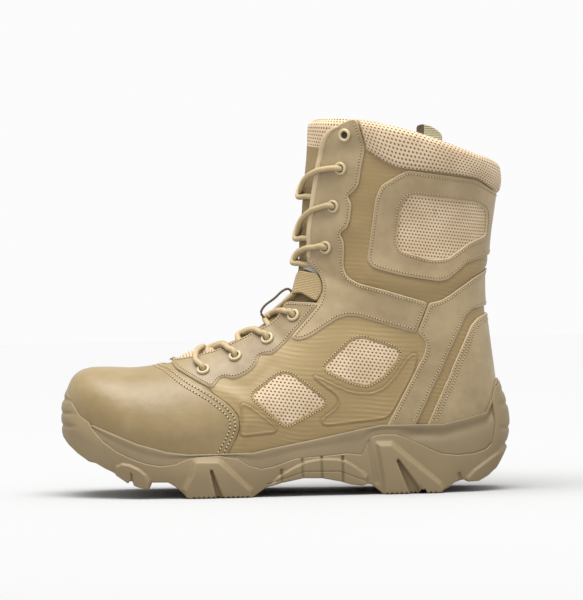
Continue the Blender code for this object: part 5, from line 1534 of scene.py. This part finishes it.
def grown(name, points, along, out, tree, values, replaces=(), slot=None):
    """Runs a tree over points in millimetres and keeps its result as a plain mesh."""
    mesh = bpy.data.meshes.new(name)
    mesh.from_pydata(((np.asarray(points) - CENTRE) * MM).tolist(), [], [])
    for label, vectors in (("along", along), ("out", out)):
        layer = mesh.attributes.new(label, "FLOAT_VECTOR", "POINT")
        layer.data.foreach_set("vector", np.asarray(vectors, float).ravel())
    seed = bpy.data.objects.new(name, mesh)
    bpy.context.scene.collection.objects.link(seed)
    grow = seed.modifiers.new("grow", "NODES")
    grow.node_group = tree
    for item in tree.interface.items_tree:
        if item.in_out == "INPUT" and item.name in values:
            grow[item.identifier] = values[item.name]
    graph = bpy.context.evaluated_depsgraph_get()
    real = bpy.data.meshes.new_from_object(seed.evaluated_get(graph))
    seed.modifiers.clear()
    seed.data = real
    for label in ("along", "out"):
        if label in real.attributes:
            real.attributes.remove(real.attributes[label])
    dress(seed, replaces)
    print(name, "points", len(points), "faces", len(real.polygons))


def ring_tree():
    tree, given = node_tree("rolled_ring", ["Radius", "Wire"])
    path, section = (tree_node(tree, "GeometryNodeCurvePrimitiveCircle", {},
                               {"Resolution": steps, "Radius": given[label]})
                     for label, steps in (("Radius", 20), ("Wire", 8)))
    ring = tree_node(tree, "GeometryNodeCurveToMesh", {}, {"Curve": path, "Profile Curve": section})
    set_along(tree, given["Geometry"], ring, ENAMEL)
    return tree


# a flat dark disc that stands for the shade inside an eyelet's hole: painted shade
def eyelet_shade_tree():
    tree, given = node_tree("eyelet_shade_disc", ["Radius"])
    disc = tree_node(tree, "GeometryNodeMeshCircle", {"fill_type": "TRIANGLE_FAN"},
                     {"Vertices": 14, "Radius": given["Radius"]})
    set_along(tree, given["Geometry"], disc, EYELET_SHADE)
    return tree


EYELETS = [(-54.9, 84.9), (-33.0, 93.7), (-11.0, 105.4), (7.2, 120.8),
           (30.2, 167.0), (35.8, 195.0), (41.0, 220.6), (44.1, 243.0)]
EYELET_LIFT, EYELET_RADIUS, EYELET_WIRE = 2.2, 3.5, 1.15
EYELET_SHADE_LIFT, EYELET_SHADE_RADIUS = 1.75, 3.1
EYELET_SPOTS = {side: seats(side, EYELETS) for side in (LATERAL, MEDIAL)}
RING_TREE, EYELET_SHADE_TREE = ring_tree(), eyelet_shade_tree()
for word, side in SIDES.items():
    spots = EYELET_SPOTS[side]
    turned = np.tile(UP, (len(spots), 1)), normal_at(*spots.T)
    grown("eyelet_rings_" + word, skin(*spots.T, EYELET_LIFT), *turned, RING_TREE,
          {"Radius": EYELET_RADIUS * MM, "Wire": EYELET_WIRE * MM},
          ["eyelet_{}_{}".format(word, n) for n in range(1, 9)], "eyelet_enamel")
    grown("eyelet_holes_" + word, skin(*spots.T, EYELET_SHADE_LIFT), *turned, EYELET_SHADE_TREE,
          {"Radius": EYELET_SHADE_RADIUS * MM}, slot="dark_cord")

# %% [markdown]
# A boot lace is a round woven cord. Each run is a tube swept along a smooth path, and a path is given by
# stops on the boot: a place, an arc in millimetres from the ridge, and a lift off the surface.

# %% Cords
TUBE_STEP, TUBE_SIDES, CURVE_STEPS = 0.8, 12, 8


def tube(points, radius, sides):
    """A closed tube along a path: points, faces, and lengths along and turns around for its weave."""
    path = even_line(points, TUBE_STEP)
    ahead = unit(np.gradient(path, axis=0))
    side = unit(np.cross(ahead, UP))
    lift = np.cross(side, ahead)
    turn = np.linspace(0, 2 * math.pi, sides, endpoint=False)
    rings = path[:, None] + radius * (np.cos(turn)[None, :, None] * side[:, None] +
                                      np.sin(turn)[None, :, None] * lift[:, None])
    count = len(path)
    faces = grid_faces(count, sides, wrap_columns=True)
    faces += [list(range(sides))[::-1], [(count - 1) * sides + k for k in range(sides)]]
    around = np.tile(turn / (2 * math.pi), count)
    return rings.reshape(-1, 3), faces, np.repeat(lengths_along(path), sides), around


def tubes(name, paths, radius, material, replaces, sides=TUBE_SIDES):
    points, faces, along, around, start = [], [], [], [], 0
    for path in paths:
        p, f, u, v = tube(path, radius, sides)
        points.append(p)
        faces += [[k + start for k in face] for face in f]
        along.append(u)
        around.append(v)
        start += len(p)
    layers = {"knit_u": np.concatenate(along), "knit_v": np.concatenate(around)}
    turn_outwards(new_piece(name, np.vstack(points), faces, [material], replaces, layers))
    print(name, "cord lengths in mm", [round(float(lengths_along(p)[-1])) for p in paths])


def curve_through(stops):
    stops = np.asarray(stops, float)
    rows = np.vstack([2 * stops[0] - stops[1], stops, 2 * stops[-1] - stops[-2]])
    last = len(stops) - 1
    return np.array([smooth_row(rows, along) for along in np.linspace(0, last, CURVE_STEPS * last + 1)])


def laid(stops):
    return curve_through([skin(place, arc_share(place, arc), lift) for place, arc, lift in stops])


def length_at(side, place):
    return float(np.interp(place, PLACES, LENGTH[HALF[side]]))


def beside_line(arc):
    """The line at this arc from the ridge, up the throat."""
    return skin(THROAT_PLACES, arc_share(THROAT_PLACES, np.full(len(THROAT_PLACES), arc)))


def place_along(arc, target, ahead):
    """The place where a line at this arc from the ridge has gone so far in a side-view direction."""
    return float(np.interp(target, beside_line(arc)[:, [0, 2]] @ ahead, THROAT_PLACES))


print("half the boot's girth at the ankle in mm:", round(length_at(LATERAL, HEEL_BACK)))

# %% [markdown]
# Each lace comes up through an eyelet, runs over the facing's edge and the ridge, and dives under the other
# facing a little above the next eyelet down. A straight bar joins the lowest pair.

# %% Laces
LACE_RADIUS = 1.9
Crossing = namedtuple("Crossing", "lateral medial far sink bend")
# Shares of the way down at the ridge, from either side, and at the far edge, then the depth and the bend
VAMP_CROSSING, SHAFT_CROSSING = Crossing(0.5, 0.68, 0.74, 2.7, 1.0), Crossing(0.84, 0.93, 0.88, 0.0, 1.7)
FIRST_ON_SHAFT, LOOP_SPOT = 4, (26.5, 151.0)


def lace_run(side, high, low, crossing):
    """From one eyelet over the facing and the ridge, under the other facing just above the next eyelet."""
    high, low = np.array(high), np.array(low)
    gap = np.linalg.norm(high - low)
    ahead = (high - low) / gap
    place, share = seats(side, [high])[0]
    arc0 = abs(share) * length_at(side, place)
    edge0 = abs(facing_share(side, place)) * length_at(side, place)
    low_place = seats(side, [low])[0, 0]
    edge1 = abs(facing_share(-side, low_place)) * length_at(-side, low_place)
    at_ridge, sink = crossing[HALF[side]], crossing.sink
    stops = [(place, side * arc0, 0.6), (place, side * arc0, 2.7)]
    for arc, lift in [(arc0 - 2.4, 4.4), (0.5 * (arc0 + edge0), 3.9), (edge0 + 1.5, 3.5),
                      (edge0 * 0.55, 1.2 + 0.5 * side - 0.8 * sink), (0.0, -0.9 + 0.8 * side - sink),
                      (-edge1 * 0.6, -1.6 + 0.4 * side - sink), (-edge1 + 1.0, -2.4 - 0.7 * sink),
                      (-edge1 - 4.0, -4.0 - 0.3 * sink), (-edge1 - 8.0, -4.1)]:
        if arc > 0:
            down = at_ridge * ((arc0 - arc) / arc0) ** crossing.bend
        else:
            down = at_ridge + (crossing.far - at_ridge) * min(-arc / edge1, 1.3)
        where = place_along(side * arc, high @ ahead - gap * down, ahead)
        stops.append((place if arc > arc0 - 3.0 else where, side * arc, lift))
    return laid(stops)


for number in range(1, 7):
    below = LOOP_SPOT if number == FIRST_ON_SHAFT else EYELETS[number - 1]
    crossing = VAMP_CROSSING if number < FIRST_ON_SHAFT else SHAFT_CROSSING
    runs = [lace_run(side, EYELETS[number], below, crossing) for side in (LATERAL, MEDIAL)]
    tubes("lace_run_{}".format(number), runs, LACE_RADIUS, LACE, ["lace_cross_{}".format(number)])


def bar_run():
    stops = []
    for side in (LATERAL, MEDIAL):
        place, share = EYELET_SPOTS[side][0]
        arc = abs(share) * length_at(side, place)
        half = [(place, side * arc, 0.2), (place, side * arc, 2.6), (place - 0.03, side * (arc - 1.9), 4.5),
                (place - 0.2, side * arc * 0.75, 3.8), (place - 0.16, side * arc * 0.4, 1.6)]
        stops = half if side == LATERAL else stops + [(place + 0.06, 0.0, -0.4)] + half[::-1]
    return laid(stops)


tubes("lace_bar_run", [bar_run()], LACE_RADIUS, LACE, ["lace_bar"])

# %% [markdown]
# At the ankle bend a ribbed webbing loop on each side carries the lace, and a thin dark cord runs from
# under the lacing to the webbing. A folded grey-olive tab stands at the collar on the inner side, its front
# third darkened with painted shade.

# %% Webbing, keeper cord and tab
LOOP_OUTLINE = [(5.0, 135.6), (9.0, 136.6), (11.5, 136.8), (22.0, 130.6), (26.1, 137.0), (26.1, 143.0),
                (23.0, 149.6), (11.0, 151.7), (8.6, 148.0)]
FLEECE_PATCH = [(11.0, 152.5), (14.5, 158.5), (19.0, 158.5), (25.5, 150.0), (23.5, 148.5), (14.0, 152.3)]
LOOP_LIFT, FLEECE_LIFT = (-2.2, 0.2), (-3.4, -1.6)
KEEPER_CORD = [(-11.0, 117.5), (-14.6, 120.8), (-15.4, 123.6), (-12.6, 127.8), (-6.3, 132.4), (-0.9, 137.2),
               (2.9, 138.8), (5.2, 137.2), (5.6, 134.0), (8.0, 131.5)]
CORD_ARC, CORD_RADIUS, CORD_SIDES = 5.0, 0.8, 8
LOOP_LACE = [(-9.5, 118.5, -3.0, -4.0), (-5.4, 125.3, 4.0, -4.0), (-1.3, 130.2, 10.0, -3.2),
             (2.4, 133.3, 13.0, -2.6), (8.8, 135.3, 16.0, -3.0), (14.0, 139.0, 18.0, -4.2)]


def beside_ridge(x, z, arc):
    """A spot in the air seen at x and z from the side, level with an arc beside the ridge, and its place."""
    line = beside_line(arc)
    near = np.argmin(np.hypot(line[:, 0] - x, line[:, 2] - z))
    return np.array([x, line[near, 1], z]), THROAT_PLACES[near]


def loop_lace(side):
    return laid([(beside_ridge(x, z, side * arc)[1], side * arc, lift) for x, z, arc, lift in LOOP_LACE])


for word, side in SIDES.items():
    panel("webbing_loop_" + word, traced(side, LOOP_OUTLINE, True), WEBBING, *LOOP_LIFT,
          ["lace_loop_" + word], "webbing")
    panel("fleece_edge_" + word, traced(side, FLEECE_PATCH, True), FLEECE, *FLEECE_LIFT, slot="lining")
cord = curve_through([beside_ridge(x, z, LATERAL * CORD_ARC)[0] for x, z in KEEPER_CORD])
tubes("keeper_cord_run", [cord], CORD_RADIUS, DARK_CORD, ["keeper_cord"], CORD_SIDES)
tubes("lace_to_loops", [loop_lace(side) for side in (LATERAL, MEDIAL)], LACE_RADIUS, LACE, [])
TAB = plain_weave("tab_cloth", tone(178, 172, 146), tone(138, 132, 104), 1.2)
TAB_ROWS = [(COLLAR - 1.0, 0.0), (COLLAR - 0.6, 0.0), (COLLAR - 0.2, 0.0), (COLLAR, 1.5), (COLLAR, 4.0),
            (COLLAR, 6.0), (COLLAR, 6.8)]  # place, height over the collar
TAB_ARCS, TAB_COLUMNS, TAB_SHADED_COLUMNS, TAB_LIFTS = (104.0, 122.0), 31, 9, (4.6, 2.6)


def collar_tab():
    """A folded strip that stands up from the collar, its front third dark with painted shade."""
    arcs = np.linspace(*TAB_ARCS, TAB_COLUMNS)
    crown = 0.35 + 0.65 * np.sin(np.linspace(0, math.pi, TAB_COLUMNS)) ** 0.5
    outer, inner = ([skin(place, arc_share(place, arcs), lift) + np.outer(up * crown, UP)
                     for place, up in TAB_ROWS] for lift in TAB_LIFTS)
    outline = outer + inner[::-1]
    count = len(outline)
    faces = grid_faces(count, TAB_COLUMNS, wrap_rows=True) + end_faces(count, TAB_COLUMNS)
    # the front third takes the dark cord's colour as painted shade on the tab's shadowed edge
    indices = [int(j < TAB_SHADED_COLUMNS) for _ in range(count) for j in range(TAB_COLUMNS - 1)] + [0, 0]
    points = np.vstack(outline)
    layers = {"knit_u": np.tile(arcs, count), "knit_v": points[:, 2]}
    turn_outwards(new_piece("collar_tab_fold", points, faces, [TAB, DARK_CORD], ["collar_tab"],
                            layers, indices))


collar_tab()

# %% [markdown]
# Panels are sewn down close to their edges. Each stitch is a short rounded bridge of thread between two
# needle holes, so nodes set one small bead on every step of a seam line and, between beads, a dark dot of
# painted shade where the needle hole is.

# %% Stitches along a line
SEAM_PITCH, TOE_PITCH, SEAM_EASE, TOE_SEAM_EASE, AHEAD = 1.95, 2.6, 1.6, 2.0, 0.4
BEAD_SIZE = ("Length", "Width", "Height")


def bead_tree(name, material):
    tree, given = node_tree(name, BEAD_SIZE)
    bead = tree_node(tree, "GeometryNodeMeshUVSphere", {}, {"Segments": 8, "Rings": 5, "Radius": 0.5})
    size = tree_node(tree, "ShaderNodeCombineXYZ", {}, {k: given[label] for k, label in enumerate(BEAD_SIZE)})
    shaped = tree_node(tree, "GeometryNodeTransform", {}, {"Geometry": bead, "Scale": size})
    set_along(tree, given["Geometry"], shaped, material)
    return tree


def seam(spots, wrap, lift, pitch, closed, keep=None):
    """Points, directions and outward normals of stitches and of the holes between them."""
    line = np.vstack([spots, spots[:1]]) if closed else spots
    points = on_skin(line, wrap, lift)
    arc = lengths_along(points)
    rows = []
    for shift in (0.0, 0.5):
        at = np.arange(shift, int(arc[-1] / pitch) + (0.0 if closed else 0.5), 1.0) * pitch
        place = at_lengths(at, arc, line)
        ahead = at_lengths(at + AHEAD, arc, points) - at_lengths(at - AHEAD, arc, points)
        where = on_skin(place, wrap, lift)
        kept = np.ones(len(at), bool) if keep is None else keep(where)
        rows.append((where[kept], ahead[kept], normal_at(*real_spots(place, wrap).T)[kept]))
    return rows


def sew(name, seams, bead, hole):
    """Threads and needle holes, the holes as dots of painted shade, for a set of seams, each bead's size in
    millimetres.
    """
    for kind, tree, index, size in (("thread", THREAD_TREE, 0, bead), ("holes", NEEDLE_SHADE_TREE, 1, hole)):
        sets = [rows[index] for rows in seams]
        grown(name + "_" + kind, *[np.vstack([part[k] for part in sets]) for k in range(3)], tree,
              dict(zip(BEAD_SIZE, (v * MM for v in size))), slot="lace_cord")


# the needle holes are dark dots of painted shade
THREAD_TREE, NEEDLE_SHADE_TREE = bead_tree("thread_bead", THREAD), bead_tree("needle_shade_dot", NEEDLE_SHADE)
print("node trees:", len(bpy.data.node_groups))

# %% [markdown]
# A seam follows each panel's outline a few millimetres in. The toe and the heel counter have two rows, and
# no stitch is set where the sole or the facing's binding covers it.

# %% Seams
ON_LEATHER, ON_TEXTILE, BINDING_CLEAR, BINDING_FROM, SOLE_CLEAR = LEATHER_HIGH + 0.15, 0.85, 5.0, 14, 2.6
TOE_INSETS, HEEL_INSETS = (3.0, 6.4), (1.8, 4.4)
SEAMS, TOE_SEAMS = [], []


def panel_seam(ring, inset, lift=ON_LEATHER, wrap=False, outer=True, keep=None):
    line = softened(stepped_in(ring, wrap, inset, outer) * CHART_SCALE, SEAM_EASE, True) / CHART_SCALE
    SEAMS.append(seam(line, wrap, lift, SEAM_PITCH, True, keep))


def toe_seam(side, inset):
    line = traced(side, TOE_SEAM, False)
    across = np.cross(normal_at(*line.T), unit(np.gradient(skin(*line.T), axis=0)))
    across *= np.sign(-across[:, :1])
    line = softened(slid(line, across * inset) * CHART_SCALE, TOE_SEAM_EASE) / CHART_SCALE
    TOE_SEAMS.append(seam(line, False, ON_LEATHER, TOE_PITCH, False))


def off_binding(side):
    """A test for points that lie clear of the binding on this side."""
    throat = skin(PLACES, facing_share(side, PLACES))[BINDING_FROM * FINE_ROWS:]

    def clear(points):
        return np.min(np.linalg.norm(points[:, None] - throat[None], axis=2), axis=1) > BINDING_CLEAR

    return clear


def above_sole(points):
    return points[:, 2] > rim("feather", points[:, 0]) + SOLE_CLEAR


for side in (LATERAL, MEDIAL):
    panel_seam(traced(side, LOWER_EYESTAY, True), 2.0)
    panel_seam(traced(side, SHAFT_EYESTAY, True), 2.1, keep=off_binding(side))
    panel_seam(WINDOWS[side], 2.0, outer=False)
    for vent in VENTS[side]:
        panel_seam(vent, 1.9, ON_TEXTILE, outer=False)
    for inset in TOE_INSETS:
        toe_seam(side, inset)
panel_seam(wrapped_ring(SHAFT_FRAME), 2.2, wrap=True)
panel_seam(wrapped_ring(COUNTER_PANEL), 2.2, wrap=True, keep=above_sole)
for inset in HEEL_INSETS:
    panel_seam(wrapped_ring(HEEL_COUNTER), inset, wrap=True, keep=above_sole)
sew("panel_seams", SEAMS, (1.4, 0.7, 0.6), (0.85, 0.72, 0.36))
sew("toe_seams", TOE_SEAMS, (1.7, 1.0, 0.8), (1.15, 1.05, 0.4))

# %% [markdown]
# A boot in a shop picture stands on white under wide soft light. One big light from above and in front gives
# the gentle top-lit modelling; a pale floor keeps the contact shadow.

# %% Floor and lights
LAMP_SPOT, LAMP_SHARE, LAMP_REACH = (-0.1, -0.3, 1.5), 1.45, 1880.0
WORLD_LIGHT, FLOOR_LEVEL = 0.97, 0.956
FLOOR_REACH, FLOOR_SIDES, FLOOR_Z = 2600, 96, -0.02


def flat_floor():
    """A round floor whose white is evened out where the lamp falls off."""
    turn = np.linspace(0, 2 * math.pi, FLOOR_SIDES + 1)[:-1]
    points = [(0.0, 0.0, FLOOR_Z)]
    points += [(FLOOR_REACH * math.cos(t), FLOOR_REACH * math.sin(t), FLOOR_Z) for t in turn]
    faces = [(0, 1 + k, 1 + (k + 1) % FLOOR_SIDES) for k in range(FLOOR_SIDES)]
    mesh = bpy.data.meshes.new("pale_floor")
    mesh.from_pydata((np.array(points) * MM).tolist(), [], faces)
    paint = Paint("floor_white")
    x, y, _ = paint.spot()
    lamp_x, lamp_y = [v / MM for v in LAMP_SPOT[:2]]
    slant = LAMP_REACH ** 2 / ((x - lamp_x) * (x - lamp_x) + (y - lamp_y) * (y - lamp_y) + LAMP_REACH ** 2)
    even = FLOOR_LEVEL / (slant * slant * LAMP_SHARE + WORLD_LIGHT)
    mesh.materials.append(paint.finish(base_color=paint.mix(even, tone(0, 0, 0), tone(255, 255, 255)),
                                       roughness=0.95, specular_ior_level=0.0))
    floor = bpy.data.objects.new("pale_floor", mesh)
    bpy.context.scene.collection.objects.link(floor)


def soft_light(name, spot, aim, size, power):
    lamp = bpy.data.lights.new(name, "AREA")
    lamp.shape, lamp.size, lamp.size_y, lamp.energy = "RECTANGLE", size[0], size[1], power
    made = bpy.data.objects.new(name, lamp)
    made.location = spot
    made.rotation_euler = (Vector(aim) - Vector(spot)).to_track_quat("-Z", "Y").to_euler()
    bpy.context.scene.collection.objects.link(made)


flat_floor()
soft_light("overhead", LAMP_SPOT, (0.0, 0.0, 0.1), (1.5, 1.1), 42.0)
soft_light("front_fill", (-0.6, -1.8, 0.7), (0.0, 0.0, 0.12), (1.4, 1.0), 1.0)
scene = bpy.context.scene
scene.world = bpy.data.worlds.new("white_room")
scene.world.use_nodes = True
scene.world.node_tree.nodes["Background"].inputs["Color"].default_value = (1.0, 1.0, 1.0, 1.0)
scene.world.node_tree.nodes["Background"].inputs["Strength"].default_value = WORLD_LIGHT
scene.view_settings.view_transform = "Standard"
print("lights:", [lamp.name for lamp in bpy.data.lights])

# %% [markdown]
# The picture was taken from far off with a long lens, at about the height of the collar. Dip and roll of the
# camera are small angles found by comparing outlines.

# %% Camera
CAMERA_SPOT, CAMERA_DIP, CAMERA_ROLL = (5.7, -4000.0, 265.0), 0.03350, -0.0180
SENSOR, LENS = 36.0, 351.8
view = bpy.data.cameras.new("photo_camera")
view.sensor_fit, view.sensor_height, view.lens = "VERTICAL", SENSOR, LENS
view.clip_end = 20.0
camera = bpy.data.objects.new("photo_camera", view)
camera.location = [v * MM for v in CAMERA_SPOT]
looking = Vector((0.0, math.cos(CAMERA_DIP), -math.sin(CAMERA_DIP))).to_track_quat("-Z", "Y")
camera.rotation_euler = (looking.to_matrix().to_4x4() @ Matrix.Rotation(CAMERA_ROLL, 4, "Z")).to_euler()
scene.collection.objects.link(camera)
scene.camera = camera
print("camera", [round(v, 3) for v in camera.location])
